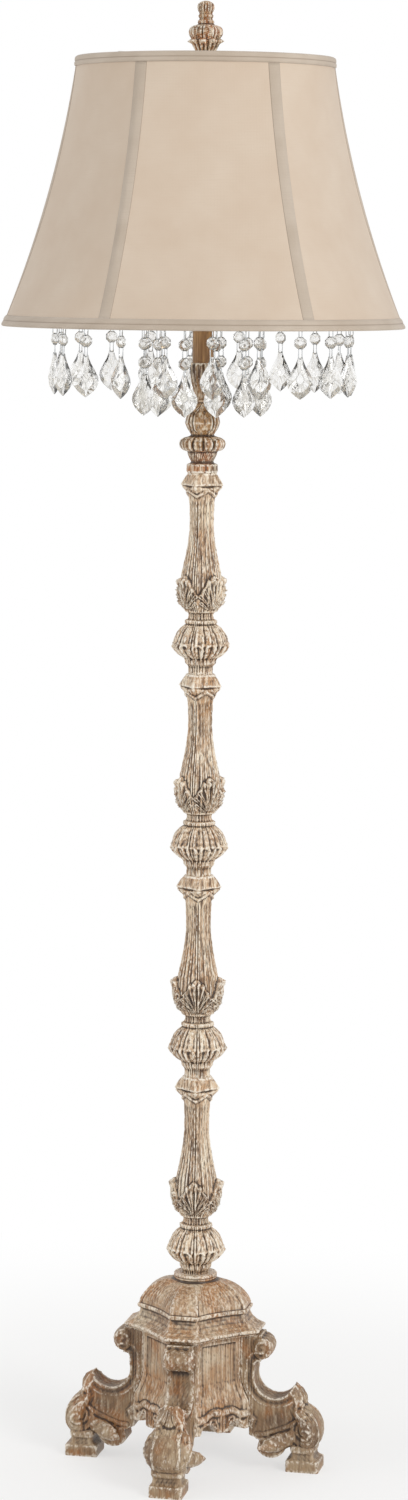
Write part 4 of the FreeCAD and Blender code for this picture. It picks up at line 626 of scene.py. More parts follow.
# %% Outline of the base
NARROW = 16          # grid columns across a narrow face
WIDE = 84            # grid columns across a wide face
ROW_PITCH = 1.05     # between two rows of the grid
APRON_FOOT = 44.0    # height of the apron's lowest points
FIELD_TOP = 142.6    # the panelled body ends under the cornice
HOLLOW = 40.5        # radius of the hollow inside
base_profile = [  # height, narrow face's distance from the axis, its half width, hollow of the wide faces
    (44.0, 63.0, 16.0, 0.0), (70.0, 63.0, 16.0, 0.0), (73.0, 62.4, 16.0, 0.0), (80.0, 58.6, 16.0, 0.0),
    (88.0, 55.4, 16.0, 0.0), (95.0, 53.4, 16.0, 0.0), (110.0, 53.0, 16.0, 0.0), (142.9, 53.0, 16.0, 0.6),
    (143.0, 69.0, 16.0, 4.0), (143.3, 70.0, 16.0, 4.0), (145.7, 70.0, 16.0, 4.0), (146.1, 72.8, 18.0, 4.0),
    (146.8, 74.0, 18.0, 4.0), (148.2, 74.0, 18.0, 4.0), (149.0, 73.2, 18.0, 4.0), (149.4, 71.8, 17.6, 4.0),
    (150.6, 68.6, 17.2, 4.0), (153.1, 64.4, 16.4, 4.0), (157.0, 60.2, 15.6, 4.0), (161.0, 57.8, 15.2, 4.0),
    (164.9, 57.0, 15.0, 4.0), (165.3, 58.4, 15.0, 4.0), (166.2, 60.0, 15.0, 4.0), (168.6, 60.6, 15.0, 4.0),
    (169.6, 59.8, 15.0, 4.0), (170.0, 58.0, 14.6, 4.0), (171.4, 58.6, 14.6, 4.0), (174.4, 57.8, 14.4, 4.0),
    (178.0, 55.8, 13.9, 4.0), (181.4, 53.4, 13.3, 4.0), (185.0, 50.2, 12.5, 4.0), (188.4, 46.2, 11.5, 4.0),
    (191.4, 41.6, 10.4, 4.0), (193.8, 36.6, 9.2, 3.6), (195.2, 32.6, 8.2, 3.2), (195.9, 29.6, 7.4, 3.0)]
collar_to_hollow = [  # radius and height: over the collar, down its seat and the bore, round the hollow
    (23.4, 196.0), (23.0, 196.3), (22.4, 197.2), (22.6, 198.0), (23.0, 198.8), (23.0, 199.4), (22.2, 199.9),
    (22.2, 200.3), (23.2, 200.9), (23.2, 202.4), (22.4, 203.4), (21.0, 203.5), (18.0, 203.4), (14.2, 203.5),
    (13.8, 203.2), (13.8, 197.5), (BORE, 197.5), (BORE, 149.0), (HOLLOW, 149.0), (HOLLOW, 120.0),
    (HOLLOW, 90.0), (HOLLOW, 72.0)]


def base_ring(radius, corner, hollow, relief=None):
    """Outline points (x, y) of one row: for every quarter a narrow face and the wide face after it."""
    quarter = [(radius, corner * share, 1.0, 0.0) for share in np.linspace(-1, 1, NARROW, endpoint=False)]
    root = math.sqrt(0.5)
    middle, half = (radius + corner) / 2, (radius - corner) / 2
    for share in np.linspace(-1, 1, WIDE, endpoint=False):
        dip = hollow * (1 - share * share) * root
        quarter.append((middle - half * share - dip, middle + half * share - dip, root, root))
    quarter = np.array(quarter)
    if relief is not None:
        quarter[:, 0] += relief * quarter[:, 2]
        quarter[:, 1] += relief * quarter[:, 3]
    points = []
    for turn in (0, 90, 180, 270):
        out, side = np.array(ahead(turn)), np.array(ahead(turn + 90))
        points.append(quarter[:, :1] * out + quarter[:, 1:2] * side)
    return np.vstack(points)


# %% Carving of the wide faces
def near_line(across, up, path, width):
    """1 on a polyline, 0 a width away from it."""
    return np.clip(stroke(across, up, path, [width] * len(path)), 0, 1) ** 0.7


def face_carving(across, up):
    """Frame, wavy apron rib, shell and scrolls of a wide face; across is from its middle, up the height."""
    side = np.abs(across)
    edge = 21.5 + 5.5 * step(up, 96.0, 70.0) ** 1.3
    wave = 63.5 + bumps(side, (6.0, 11.0, 12.0), (3.2, 0.0, 8.0))
    inside = step(edge - side, -0.3, 0.7) * step(up - wave, -0.3, 0.7) * (1 - step(up, 135.6, 136.6))
    field = -1.1 * inside
    bead = 0.4 * near_line(side, up, [(24.0, 141.0), (24.0, 98.0), (27.0, 84.0), (30.0, 70.0)], 1.0)
    bead -= 0.5 * near_line(side, up, [(25.6, 141.0), (25.6, 98.0), (28.8, 84.0), (31.6, 70.0)], 0.8)
    band = 2.3 * bump_at(up, wave - 3.8, 4.6)
    below = 1 - step(up, wave - 8.5, wave - 6.0)
    shell_angle = np.arctan2(up - APRON_FOOT, side - 15.5)
    shell_reach = np.hypot(up - APRON_FOOT, side - 15.5)
    shell = 0.6 * below * step(side, 6.5, 8.5) * np.cos(shell_angle * 12) * bump_at(shell_reach, 9.0, 9.0)
    scroll = 1.4 * near_line(side, up, [
        (6.6, 44.0), (6.4, 52.0), (8.4, 57.5), (13.0, 59.0), (16.4, 55.6), (15.6, 51.6), (12.4, 51.2)], 1.5)
    drop = below * bump_at(side, 0.0, 6.2) * (1.6 + 0.7 * np.cos(side * 2.6))
    grain = 0.16 * np.sin(across * 3.1 + 0.6 * np.sin(up * 0.11)) * np.sin(across * 1.3 + up * 0.05)
    return field + bead + band + shell + scroll + drop + grain


def dome_carving(across, up, half):
    """Fine cuts that run down the dome, and a line along the edges of its wide faces."""
    share = np.abs(across) / half
    cuts = 0.4 * np.sin(share * 44 + 0.8 * np.sin(up * 0.2)) * step(up, 171.0, 186.0) * step(share, 0.05, 0.2)
    edge = bumps(share, (0.35, 0.955, 0.06), (-0.8, 0.89, 0.05))
    cove = 0.5 * bump_at(share, 0.94, 0.07)
    return np.where(up > 170.2, cuts + edge, np.where((up > 150.0) & (up < 164.8), cove, 0.0))


def apron_edge(side):
    """Height of the apron's lower edge along a wide face: a pendant between two arches."""
    arch = np.clip(1 - ((side - 17.0) / 10.0) ** 2, 0, 1) ** 0.5
    return APRON_FOOT + 10.0 * arch


# %% Build the base
def base_rows():
    """All rows of the base, from the apron's edge to the collar, down the bore and round the hollow."""
    levels = []
    for low, high in zip(base_profile, base_profile[1:]):
        count = max(1, round(math.hypot(high[0] - low[0], high[1] - low[1]) / ROW_PITCH))
        for share in np.linspace(0, 1, count, endpoint=False):
            levels.append([a + (b - a) * share for a, b in zip(low, high)])
    levels.append(base_profile[-1])
    rows = []
    for height, radius, corner, hollow in levels:
        half = (radius - corner) / math.sqrt(2)
        across = np.linspace(-half, half, WIDE, endpoint=False)
        lift = apron_edge(np.abs(across)) - APRON_FOOT
        up = height + lift * np.clip((72.0 - height) / 28.0, 0, 1)
        fade = np.clip((half - np.abs(across)) / 1.2, 0, 1)
        carving = face_carving(across, up) * (up < FIELD_TOP) + dome_carving(across, up, half)
        heights = np.tile(np.concatenate([np.full(NARROW, height), up]), 4)
        ring = base_ring(radius, corner, hollow, np.concatenate([np.zeros(NARROW), carving * fade]))
        turn = np.degrees(np.arctan2(ring[:, 0], -ring[:, 1]))
        outward = ring / np.linalg.norm(ring, axis=1)[:, None]
        rows.append(np.column_stack([ring + 0.7 * hand_cut(turn, height * 1.3)[:, None] * outward, heights]))
    direction = base_ring(60.0, 15.0, 4.0)
    direction /= np.linalg.norm(direction, axis=1)[:, None]
    for radius, height in collar_to_hollow:
        rows.append(np.column_stack([direction * radius, np.full(len(direction), height)]))
    rows.append(np.column_stack([direction * HOLLOW, rows[0][:, 2]]))
    return np.array(rows)


points = base_rows()
mesh = make_mesh("base_skin", points, grid_faces(*points.shape[:2], wrap_rows=True))
mark_edges_and_hollows(mesh)
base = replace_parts(make_piece("carved_base", mesh, BASE_WOOD, "stand"), "base_body")
print(base.name, "points", len(mesh.vertices))

# %% [markdown]
# ### The scroll legs
# A leg is built the way a carver builds one: blocks are joined roughly, then the joints are blended and the
# surface is cut. The rough blocks are a sawn board, a rolled volute, leaves and a square foot. A voxel
# remesh melts them into one skin with even, small faces, and each kind of surface is then cut by a formula
# of where it lies on the leg. One leg is carved, and the other three are the same mesh turned by quarter
# turns.

# %% Rough blocks
def arc(first, bend, last, count):
    """Points on the circle from first to last through bend, without the last one."""
    (ax, ay), (bx, by), (cx, cy) = first, bend, last
    a, b, c = (x * x + y * y for x, y in (first, bend, last))
    twice = 2 * (ax * (by - cy) + bx * (cy - ay) + cx * (ay - by))
    ux = (a * (by - cy) + b * (cy - ay) + c * (ay - by)) / twice
    uy = (a * (cx - bx) + b * (ax - cx) + c * (bx - ax)) / twice
    radius = math.hypot(ax - ux, ay - uy)
    start, middle, end = [math.atan2(y - uy, x - ux) for x, y in (first, bend, last)]
    sweep = (end - start) % math.tau
    if (middle - start) % math.tau > sweep:
        sweep -= math.tau
    angles = [start + sweep * i / count for i in range(count)]
    return [(ux + radius * math.cos(angle), uy + radius * math.sin(angle)) for angle in angles]


def curve(first, *arcs):
    """Points along arcs that follow each other, each given by its bend, its end and a count of points."""
    points = []
    for bend, end, count in arcs:
        points += arc(first, bend, end, count)
        first = end
    return points + [first]


def circle(middle, radius, count=48):
    """Points round a circle in the side plane of a leg."""
    return [(middle[0] + radius * math.cos(angle), middle[1] + radius * math.sin(angle))
            for angle in all_round(count, math.tau)]


def hoops(path, radii, reference, sides, flat=1.0, closed=False, round_ends=False):
    """Circles of points round a path, which never runs along the reference direction. Flat squeezes them."""
    path = np.array(path, float)
    last = len(path) - 1
    rings = []
    for index, (spot, radius) in enumerate(zip(path, radii)):
        before = path[index - 1] if closed else path[max(index - 1, 0)]
        after = path[(index + 1) % len(path)] if closed else path[min(index + 1, last)]
        along = (after - before) / np.linalg.norm(after - before)
        first = np.cross(along, reference)
        first /= np.linalg.norm(first)
        second = np.cross(along, first) * flat
        start = [(0.35, -0.9), (0.8, -0.55)] if round_ends and index == 0 else []
        end = [(0.8, 0.55), (0.35, 0.9)] if round_ends and index == last else []
        for share, shift in start + [(1.0, 0.0)] + end:
            middle, reach = spot + along * radius * shift, radius * share
            rings.append([middle + reach * (math.cos(a) * first + math.sin(a) * second)
                          for a in all_round(sides, math.tau)])
    return rings


class Blocks:
    """Points and faces of several bodies, gathered for one mesh."""

    def __init__(self):
        self.points, self.faces = [], []

    def add(self, points, faces):
        """Add a body; its faces count its own points from 0."""
        start = len(self.points)
        self.points += [tuple(map(float, p)) for p in points]
        self.faces += [[start + i for i in face] for face in faces]

    def rings(self, rings):
        """Closed body through rings of equally many points."""
        shape = len(rings), len(rings[0])
        self.add([p for ring in rings for p in ring], grid_faces(*shape).tolist() + end_faces(*shape))

    def board(self, outline, half):
        """Sawn board: an outline in (out, up), as thick as asked across the leg."""
        self.rings([[(x, y, z) for x, z in outline] for y in (-half, half)])

    def drum(self, levels, sides=40):
        """Stack of rounded outlines: height, middle, half depth, half width, squareness."""
        angles = all_round(sides, math.tau)
        rings = []
        for height, middle, depth, width, square in levels:
            out, across = (np.sign(v) * np.abs(v) ** (2 / square) for v in (np.cos(angles), np.sin(angles)))
            rings.append(np.stack([middle + depth * out, width * across, np.full(sides, height)], -1))
        self.rings(rings)

    def sausage(self, path, radii, flat=1.0):
        """Rounded stroke along a path of (out, across, up) points; flat squeezes it across the leg."""
        self.rings(hoops(path, radii, (0, 1, 0), 14, flat, round_ends=True))


# places on a leg are (out from the lamp's axis, up), or (out, across, up)
LEG_TOP = 142.8            # the leg ends under the cornice
ROLL = (76.0, 128.6)       # middle of the roll under the leg's top
VOLUTE = (124.0, 43.0)     # middle of the volute at its knee
FOOT = 121.5               # middle of its foot
KNEE = [  # height, middle, half depth, half width, squareness
    (27.0, 126.0, 10.5, 17.0, 2.6), (33.0, 128.0, 11.6, 21.2, 2.4), (39.0, 128.6, 12.2, 23.6, 2.3),
    (44.0, 128.2, 12.4, 25.4, 2.1), (49.0, 127.0, 12.2, 26.0, 2.0), (54.0, 124.8, 11.8, 24.8, 2.1),
    (60.0, 121.0, 11.2, 21.6, 2.1), (66.0, 116.6, 10.0, 16.6, 2.1), (72.0, 113.0, 8.5, 12.0, 2.1)]
foot_blocks = [  # square plate, hollow neck and round moulding: height, half depth, half width, squareness
    [(0.0, 18.0, 18.0, 16.0), (11.4, 18.0, 18.0, 16.0), (12.0, 17.2, 17.2, 14.0)],
    [(11.8, 16.6, 17.0, 12.0), (13.2, 14.0, 16.2, 10.0), (15.4, 12.0, 15.6, 9.0), (20.4, 11.8, 15.6, 8.0)],
    [(19.6, 12.0, 15.8, 7.0), (21.0, 13.2, 17.2, 6.0), (23.6, 13.6, 17.6, 6.0), (26.2, 13.2, 17.2, 6.0),
     (27.6, 12.0, 15.8, 6.0)]]
# the board's outline, in three stretches from the roll down to the foot and back up
scroll_edge = [(76.0, 115.0), (70.6, 114.6), (69.0, 112.0)] + curve(
    (69.0, 104.0), ((87.0, 76.5), (111.0, 90.5), 26))
outer_edge = curve((111.0, 90.5), ((119.0, 81.5), (122.0, 67.0), 8), ((135.5, 57.0), (140.0, 42.0), 12),
                   ((139.0, 33.0), (134.5, 27.0), 6))
inner_edge = [(108.5, 27.0)] + curve((103.5, 25.0), ((87.5, 12.5), (72.0, 21.0), 12)) + [
    (74.0, 31.0), (63.0, 36.0), (63.0, 72.0), (53.0, 95.0), (53.0, LEG_TOP)]
blocks = Blocks()
blocks.board([(76.0, LEG_TOP)] + scroll_edge + outer_edge[1:] + inner_edge, 14.0)
roll_swell = [(7.0, 1.02), (13.0, 0.95), (15.2, 0.8), (16.0, 0.6)]    # across, and how far it bulges there
blocks.rings([[(76.4 + (x - ROLL[0]) * swell, across, z) for x, z in circle(ROLL, 11.2)] for across, swell in
              [(-across, swell) for across, swell in roll_swell[::-1]] + [(0.0, 1.04)] + roll_swell])
blocks.board(circle(VOLUTE, 15.8), 15.4)
blocks.drum(KNEE)
for levels in foot_blocks:
    blocks.drum([(height, FOOT, *shape) for height, *shape in levels])
for across, radius in ((-9.6, 6.2), (0.0, 7.6), (9.6, 6.2)):
    blocks.sausage([(114.8, across, 66.0), (117.4, across, 71.5), (117.0, across * 0.96, 77.0),
                    (114.8, across * 0.7, 83.0), (112.4, across * 0.3, 87.6)],
                   [radius * 0.85, radius, radius, radius * 0.85, 2.8])
for across in (-1, 1):
    blocks.sausage([(118.0, 8.5 * across, 44.0), (106.0, 9.5 * across, 35.0), (93.0, 9.5 * across, 27.0),
                    (80.0, 7.0 * across, 22.0)], [7.5, 9.5, 9.0, 5.0], 0.95)
    blocks.sausage([(104.0, 12.0 * across, 34.0), (93.0, 18.0 * across, 29.5), (84.0, 23.5 * across, 27.5),
                    (77.0, 28.5 * across, 26.0)], [8.5, 9.0, 6.6, 1.8], 0.7)
    blocks.sausage([(64.0, 11.5 * across, 60.0), (66.0, 12.5 * across, 52.0), (66.0, 12.0 * across, 45.0)],
                   [3.0, 5.4, 3.6])
print("rough blocks have", len(blocks.faces), "faces")


# %% Melt and carve
knee_reach = profile([level[0] for level in KNEE[:-1]], [level[3] for level in KNEE[:-1]])


def melted(name, blocks, voxel):
    """One skin around all blocks, with faces about a voxel across."""
    rough = bpy.data.objects.new(name, make_mesh(name, blocks.points, blocks.faces))
    bpy.context.scene.collection.objects.link(rough)
    remesh = rough.modifiers.new("melt", "REMESH")
    remesh.mode = "VOXEL"
    remesh.voxel_size = voxel * MM
    smooth = rough.modifiers.new("ease", "SMOOTH")
    smooth.iterations = 3
    smooth.factor = 0.5
    mesh = bpy.data.meshes.new_from_object(rough.evaluated_get(bpy.context.evaluated_depsgraph_get()))
    bpy.data.objects.remove(rough)
    return mesh


def spiral(centre, radius, inner, turns, start, count=60):
    """Polyline of a volute's spiral, from its outside in."""
    shares = np.linspace(0, 1, count)
    angles = start + shares * turns * math.tau
    reach = radius + (inner - radius) * shares ** 0.8
    return list(zip(centre[0] + reach * np.cos(angles), centre[1] + reach * np.sin(angles)))


roll_spiral = spiral(ROLL, 8.2, 2.0, 1.1, 0.6)
foot_spiral = spiral((125.0, 43.5), 10.4, 2.2, 1.2, 2.4)
rib_middle = [(116.0, 55.0), (106.0, 47.6), (92.0, 41.6), (80.0, 37.4), (72.0, 37.0)]


def side_cuts(x, z):
    """Rims, spirals, ribs and veins on the two side faces of a leg."""
    rim = distance_to(x, z, scroll_edge)
    lower = distance_to(x, z, outer_edge)
    cut = bumps(rim, (0.8, 0.6, 1.9), (-0.9, 5.0, 3.8), (0.6, 9.6, 1.6)) * step(z, 66.0, 70.0) * (x < 112)
    cut += bumps(lower, (0.8, 0.8, 1.8), (-0.8, 4.0, 3.2), (0.6, 7.4, 1.5)) * (z > 30)
    for line, depth in ((roll_spiral, 0.45), (foot_spiral, 0.9)):
        cut += depth * bumps(distance_to(x, z, line), (1.0, 0.0, 1.5), (-0.7, 2.6, 1.4))
    cut += bumps(distance_to(x, z, rib_middle), (0.3, 0.0, 2.2), (-0.5, 3.0, 1.5))
    above = z - (35.5 + (x - 74.0) * 0.402)
    ribbed = within(above, 2.0, 4.5, 14.0, 18.0) * within(x, 77.0, 80.0, 112.0, 117.0)
    cut += 0.26 * ribbed * np.cos((x + 0.25 * above + 0.6 * np.sin(z * 0.4)) * math.tau / 3.8)
    leaf = (1 - step(above, -3.6, -1.5)) * within(x, 74.0, 78.0, 112.0, 116.0) * (z < 44)
    cut += 0.32 * leaf * np.cos((z * 1.1 + x * 0.7) * math.tau / 9.0)
    stem = (x < 69.0) & (z > 40.0) & (z < 142.0)
    cut += 0.25 * stem * np.sin(x * 2.2 + 0.5 * np.sin(z * 0.2))
    return cut


def edge_cuts(x, y, z):
    """Troughs, flutes and leaf grooves on the faces that look out, up and down."""
    across = np.abs(y)
    rim = distance_to(x, z, scroll_edge)
    trough = -2.2 * np.clip(1 - (y / 11.5) ** 2, 0, 1) * bump_at(rim, 0.0, 3.0)
    flutes = 0.1 * np.cos(y * math.tau / 5.2) * bump_at(rim, 0.0, 3.0) * (across < 11)
    angle = np.arctan2(z - ROLL[1], x - ROLL[0])
    on_roll = bump_at(np.hypot(x - ROLL[0], z - ROLL[1]), 11.4, 4.0) * (across < 13.5)
    knobs = on_roll * (0.55 * np.sin(angle * 4 + 0.35 * y) * np.cos(y * 0.36 + 0.4)
                       + 0.12 * np.sin(angle * 13 - y * 1.1))
    spur = step(x + z, 180.0, 185.0) * (x > 104) * (z > 62) * (z < 82)
    lobes = 0.2 * spur * np.cos(y * math.tau / 4.0 + 0.5 * np.sin(z))
    crease = -1.0 * bump_at(z, 69.4 + 0.03 * y * y, 1.8) * (x > 108)
    leaf = within(z, 28.5, 31.0, 64.0, 70.0) * (x > 116)
    share = across / knee_reach(z)
    waves = bumps(share, (0.4, 0.0, 0.4), (-0.35, 0.46, 0.1), (-0.5, 0.76, 0.12))
    veins = 0.14 * np.cos((y + 0.22 * z * np.sign(y)) * math.tau / 2.5)
    notches = bump_at(share, 1.0, 0.3) * bumps(z, (-1.8, 40.0, 2.6), (-1.6, 58.0, 2.6))
    under = (z < 34) & (x < 106)
    ribs = 0.5 * np.cos(x * math.tau / 5.5) * under
    return trough + flutes + knobs + lobes + crease + leaf * (waves + veins + notches) + ribs


def carve_leg(mesh):
    """Move every point along its normal by the cuts of the surface it lies on."""
    points, normals = points_and_normals(mesh)
    points = points / MM
    x, y, z = points.T
    sideways = step(np.abs(normals[:, 1]), 0.55, 0.85)
    depth = sideways * side_cuts(x, z) + (1 - sideways) * edge_cuts(x, y, z)
    depth *= step(z, 26.5, 29.0)
    depth += 0.12 * np.sin(x * 1.1 + z * 0.7) * np.sin(y * 1.3 - z * 0.9)
    depth += 0.08 * np.sin(x * 2.9 - y * 2.3 + z * 1.7)
    points = points + normals * depth[:, None]
    points[:, 1] *= 1 - 0.6 * step(x + z, 190.0, 204.0) * (x > 98.0) * (z > 60.0)
    points[:, 2] = np.maximum(points[:, 2], 0.0)
    points[:, 2] = np.where(points[:, 0] < 74.0, np.minimum(points[:, 2], LEG_TOP), points[:, 2])
    mesh.vertices.foreach_set("co", (points * MM).ravel())
    mesh.update()
    return float(np.abs(depth).max())


leg_mesh = melted("scroll_leg_skin", blocks, 0.8)
print("deepest cut", round(carve_leg(leg_mesh), 2), "mm, points", len(leg_mesh.vertices))
# a longer reach, so that painted shade in the hollows and a painted highlight on the edges outline the leg's
# larger forms
mark_edges_and_hollows(leg_mesh, 40, 0.75)
for side, turn in {"front": 0, "right": 90, "back": 180, "left": 270}.items():
    leg = make_piece(f"carved_leg_{side}", leg_mesh, LEG_WOOD, "stand")
    leg.rotation_euler = (0, 0, math.radians(turn - 90))
    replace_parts(leg, f"scroll_leg_{side}")
print("four legs stand at quarter turns")

# %% [markdown]
# ## The shade
# Six panels of stiffened linen are stretched over a wire frame with round rings and six ribs. At the rings
# the cloth follows the circle. Half way down it is held only by the ribs, so it pulls nearly straight from
# rib to rib, and that is why the panels look flat but the rims look round. Each panel is its own sheet, a
# grid between two seams, with an off-white lining inside and folded bands of the same cloth over the seams
# and both rims. The bands are drawn darker than the panels, as painted shade in their folds.

# %% Shape of the cloth
SHADE_TOP = 1513.6
SHADE_DROP = 291.4
SHADE_FACES = 13.5     # turn of the middle of the front panel
PANELS = 6
PANEL_TURN = 360 / PANELS
PULL = 0.62            # how nearly straight the cloth lies between two ribs, half way down


def flare(drop):
    """Radius of the shade along a rib; it opens faster the further it drops from the top edge."""
    return 137.6 + 0.136 * drop + 0.000452 * drop * drop


def cloth_radius(turn, drop):
    """Distance of the cloth from the axis at a turn, a drop below the top edge."""
    half = math.radians(PANEL_TURN / 2)
    away = np.radians(wrap(turn - SHADE_FACES, PANEL_TURN))
    pull = PULL * np.sin(math.pi * np.clip(drop / SHADE_DROP, 0, 1)) ** 0.7
    return flare(drop) * (1 - pull * (1 - np.cos(half) / np.cos(away)))


# %% Linen
WAVE_PITCH = 1000 / 3.14    # scale of a wave texture with a pitch of 1 mm


def cloth_material(name, light, dark, thread):
    """Plain-woven linen: slubby threads both ways, in millimetres along and across the cloth."""
    material = new_material(name, Roughness=0.85, Sheen_Weight=0.25, Sheen_Roughness=0.5)
    cloth = add_node(material, "ShaderNodeAttribute", out="Vector", attribute_name="cloth")
    fold_shade = add_node(material, "ShaderNodeAttribute", out="Fac", attribute_name="fold_shade")
    threads = [add_node(material, "ShaderNodeTexWave", {
        "Vector": cloth, "Scale": WAVE_PITCH / thread, "Distortion": 1.2, "Detail": 1.0,
        "Detail Scale": 0.6}, out="Fac", bands_direction=direction) for direction in ("X", "Y")]
    weave = add_node(material, "ShaderNodeMix", {"Factor": 0.5, "A": threads[0], "B": threads[1]},
                     data_type="FLOAT")
    across = grain_of(material, 1.1, 30, 3.0, cloth)
    slubs = add_node(material, "ShaderNodeMapping", {"Vector": cloth, "Scale": (1000 / 26, 1000 / 1.3, 1)})
    along = add_node(material, "ShaderNodeTexNoise", {"Vector": slubs, "Scale": 1.0, "Detail": 3.0})
    patch = grain_of(material, 90, place=cloth)
    colour = add_node(material, "ShaderNodeValToRGB", {"Fac": patch}, stops=[(0.35, dark), (0.65, light)])
    # the last layer is painted shade, darkest in the bands' folds and along their folded edges
    colour = over(material, colour, (dark, along, 0.5, 0.68, 0.35), (light, across, 0.52, 0.7, 0.4),
                  (dark, weave, 0.55, 0.2, 0.12), ("#85705E", fold_shade, 0.35, 1.0, 0.7))
    raised = add_node(material, "ShaderNodeBump", {"Height": weave, "Distance": 0.15 * MM, "Strength": 0.35})
    return wire_up(material, Base_Color=colour, Normal=raised)


# Linen has 16 threads to the centimetre; they are drawn 1.6 mm apart so that the weave shows
LINEN = cloth_material("stretched_linen_shade_cloth", "#D5C4B1", "#CEBAA5", 1.6)
# the bands are the same linen drawn darker than the panels, as painted shade in their folds
SHADED_BAND_LINEN = cloth_material("folded_linen_band_painted_shade", "#C8BAAA", "#B6A694", 1.6)
LINING = new_material("off_white_styrene_lining", Roughness=0.5)
wire_up(LINING, Base_Color=over(LINING, "#F4F1EA", ("#E9E4DA", grain_of(LINING, 60), 0.4, 0.7, 1.0)))


def lay_cloth(mesh, places, fold_shade=0.0):
    """Keep each point's place on the flat cloth, in metres, for the weave, and how much painted shade it gets
    where the band folds.
    """
    places = np.reshape(places, (-1, 2))
    keep(mesh, "cloth", np.column_stack([places * MM, np.zeros(len(places))]), "FLOAT_VECTOR")
    keep(mesh, "fold_shade", np.zeros(len(places)) + np.ravel(fold_shade))


# %% Panels
DOWN = np.linspace(0.4, SHADE_DROP - 0.6, 61)
ACROSS = np.linspace(-0.5, 0.5, 41)
CLOTH = 0.8       # thickness; the grid is the lining's side and the linen lies outside it
slope = np.concatenate([[0], np.cumsum(np.hypot(np.diff(DOWN), np.diff(flare(DOWN))))])
panels = []
for number in range(PANELS):
    turns = SHADE_FACES + PANEL_TURN * (number + ACROSS)
    grid = np.array([around(turns, cloth_radius(turns, drop), SHADE_TOP - drop) for drop in DOWN])
    row_widths = np.hypot(*np.moveaxis(np.diff(grid[:, :, :2], axis=1), -1, 0)).sum(axis=1)
    steps_down = np.linalg.norm(np.diff(grid[:, len(ACROSS) // 2], axis=0), axis=1)
    area = float(((row_widths[1:] + row_widths[:-1]) / 2 * steps_down).sum())
    faces = grid_faces(len(DOWN), len(ACROSS), wrap_columns=False)
    mesh = make_mesh(f"shade_panel_{number + 1}", grid, faces)
    lay_cloth(mesh, np.stack(np.broadcast_arrays(ACROSS * row_widths[:, None], slope[:, None]), -1))
    panel = make_piece(f"linen_panel_{number + 1}", mesh, LINING, "shade")
    thick = panel.modifiers.new("cloth", "SOLIDIFY")
    thick.thickness = CLOTH * MM
    thick.offset = -1.0
    mesh.materials.append(LINEN)
    thick.material_offset = thick.material_offset_rim = 1
    panels.append((panel, float(row_widths.max()), area))
    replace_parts(panel, "shade_cover")
    print(panel.name, "widest", round(panels[-1][1], 1), "mm, area", round(area / 100), "cm2")


# %% Bands
RIM_WIDTH = 11.4       # a seam's band ends under the rims' bands
RIM_SECTION = [  # out from the cloth, in from the edge of the shade, and how deep in the folds it lies, as painted shade
    (0.15, 0.4, 0), (0.15, 11.0, 0), (1.0, 11.6, 1), (2.0, 11.2, 0), (2.8, 9.6, 0), (3.0, 7.4, 0),
    (2.5, 6.0, 1), (3.0, 4.9, 0), (3.2, 2.6, 0), (2.5, 0.8, 0), (1.2, 0.0, 0), (-0.4, -0.1, 0),
    (-1.0, 0.3, 1)]
SEAM_SECTION = [  # across the seam, out from the cloth, and how deep in the folds it lies, as painted shade
    (-7.0, 0.15, 1), (-6.9, 0.9, 1), (-5.9, 1.35, 0), (-2.0, 1.25, 0), (0.0, 1.2, 0.3), (2.0, 1.25, 0),
    (5.9, 1.35, 0), (6.9, 0.9, 1), (7.0, 0.15, 1), (3.0, 0.15, 0), (0.0, 0.15, 0), (-3.0, 0.15, 0)]


def rim_band(name, at_top):
    """Puffy folded band, its section swept right round a rim."""
    turns = all_round(216)
    points, places = [], []
    for out, inward, _ in RIM_SECTION:
        drop = inward * 0.95 if at_top else SHADE_DROP - inward
        ripple = 0.1 * np.sin(np.radians(turns) * 37) * (out > 1)
        radius = cloth_radius(turns, np.clip(drop, DOWN[0], DOWN[-1])) + out + ripple
        points.append(around(turns, radius, SHADE_TOP - drop))
        places.append(np.stack([np.radians(turns) * flare(drop), np.full(len(turns), inward)], -1))
    mesh = make_mesh(name, points, grid_faces(len(RIM_SECTION), len(turns), wrap_rows=True))
    lay_cloth(mesh, places, np.repeat([fold_shade for *_, fold_shade in RIM_SECTION], len(turns)))
    return make_piece(name, mesh, SHADED_BAND_LINEN, "shade")


def seam_band(number):
    """Narrow folded band down one seam."""
    across, out, fold_shade = np.array(SEAM_SECTION, float).T
    points, places = [], []
    for drop in np.linspace(RIM_WIDTH, SHADE_DROP - RIM_WIDTH, 70):
        turns = SHADE_FACES + PANEL_TURN * (number - 0.5) + np.degrees(across / flare(drop))
        points.append(around(turns, cloth_radius(turns, drop) + out, SHADE_TOP - drop))
        places.append(np.stack([across, np.full(len(turns), drop)], -1))
    shape = len(points), len(across)
    faces = grid_faces(*shape).tolist() + [face[::-1] for face in end_faces(*shape)]
    mesh = make_mesh(f"seam_band_{number + 1}", points, faces)
    lay_cloth(mesh, places, np.tile(fold_shade, len(points)))
    return make_piece(f"seam_band_{number + 1}", mesh, SHADED_BAND_LINEN, "shade")


rim_bands = [rim_band("top_band", True), rim_band("bottom_band", False)]
for number, (panel, width, area) in enumerate(panels):
    bands = [seam_band(number)] + (rim_bands if number == 0 else [])
    for band in bands:
        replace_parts(band, "shade_trim")
print("slope of the shade", round(slope[-1], 1), "mm")

# %% [markdown]
# ### The wire frame
# The cloth is stretched over a white enamelled frame: a ring behind each rim, a rib behind each seam and a
# three-armed spider at the top, with a washer that the finial clamps down. All of it is round wire, welded.

# %% Wire frame
def wire_along(path, radius, closed=False, sides=8):
    """Points and faces of a round wire along a path in space."""
    rings = hoops(path, [radius] * len(path), (0.31, 0.17, 0.93), sides, closed=closed)
    faces = grid_faces(len(path), sides, wrap_rows=closed).tolist()
    return np.concatenate(rings), faces if closed else faces + end_faces(len(path), sides)


def merged(name, parts):
    """One mesh from several (points, faces) lists."""
    gathered = Blocks()
    for points, faces in parts:
        gathered.add(points, faces)
    return make_mesh(name, gathered.points, gathered.faces)


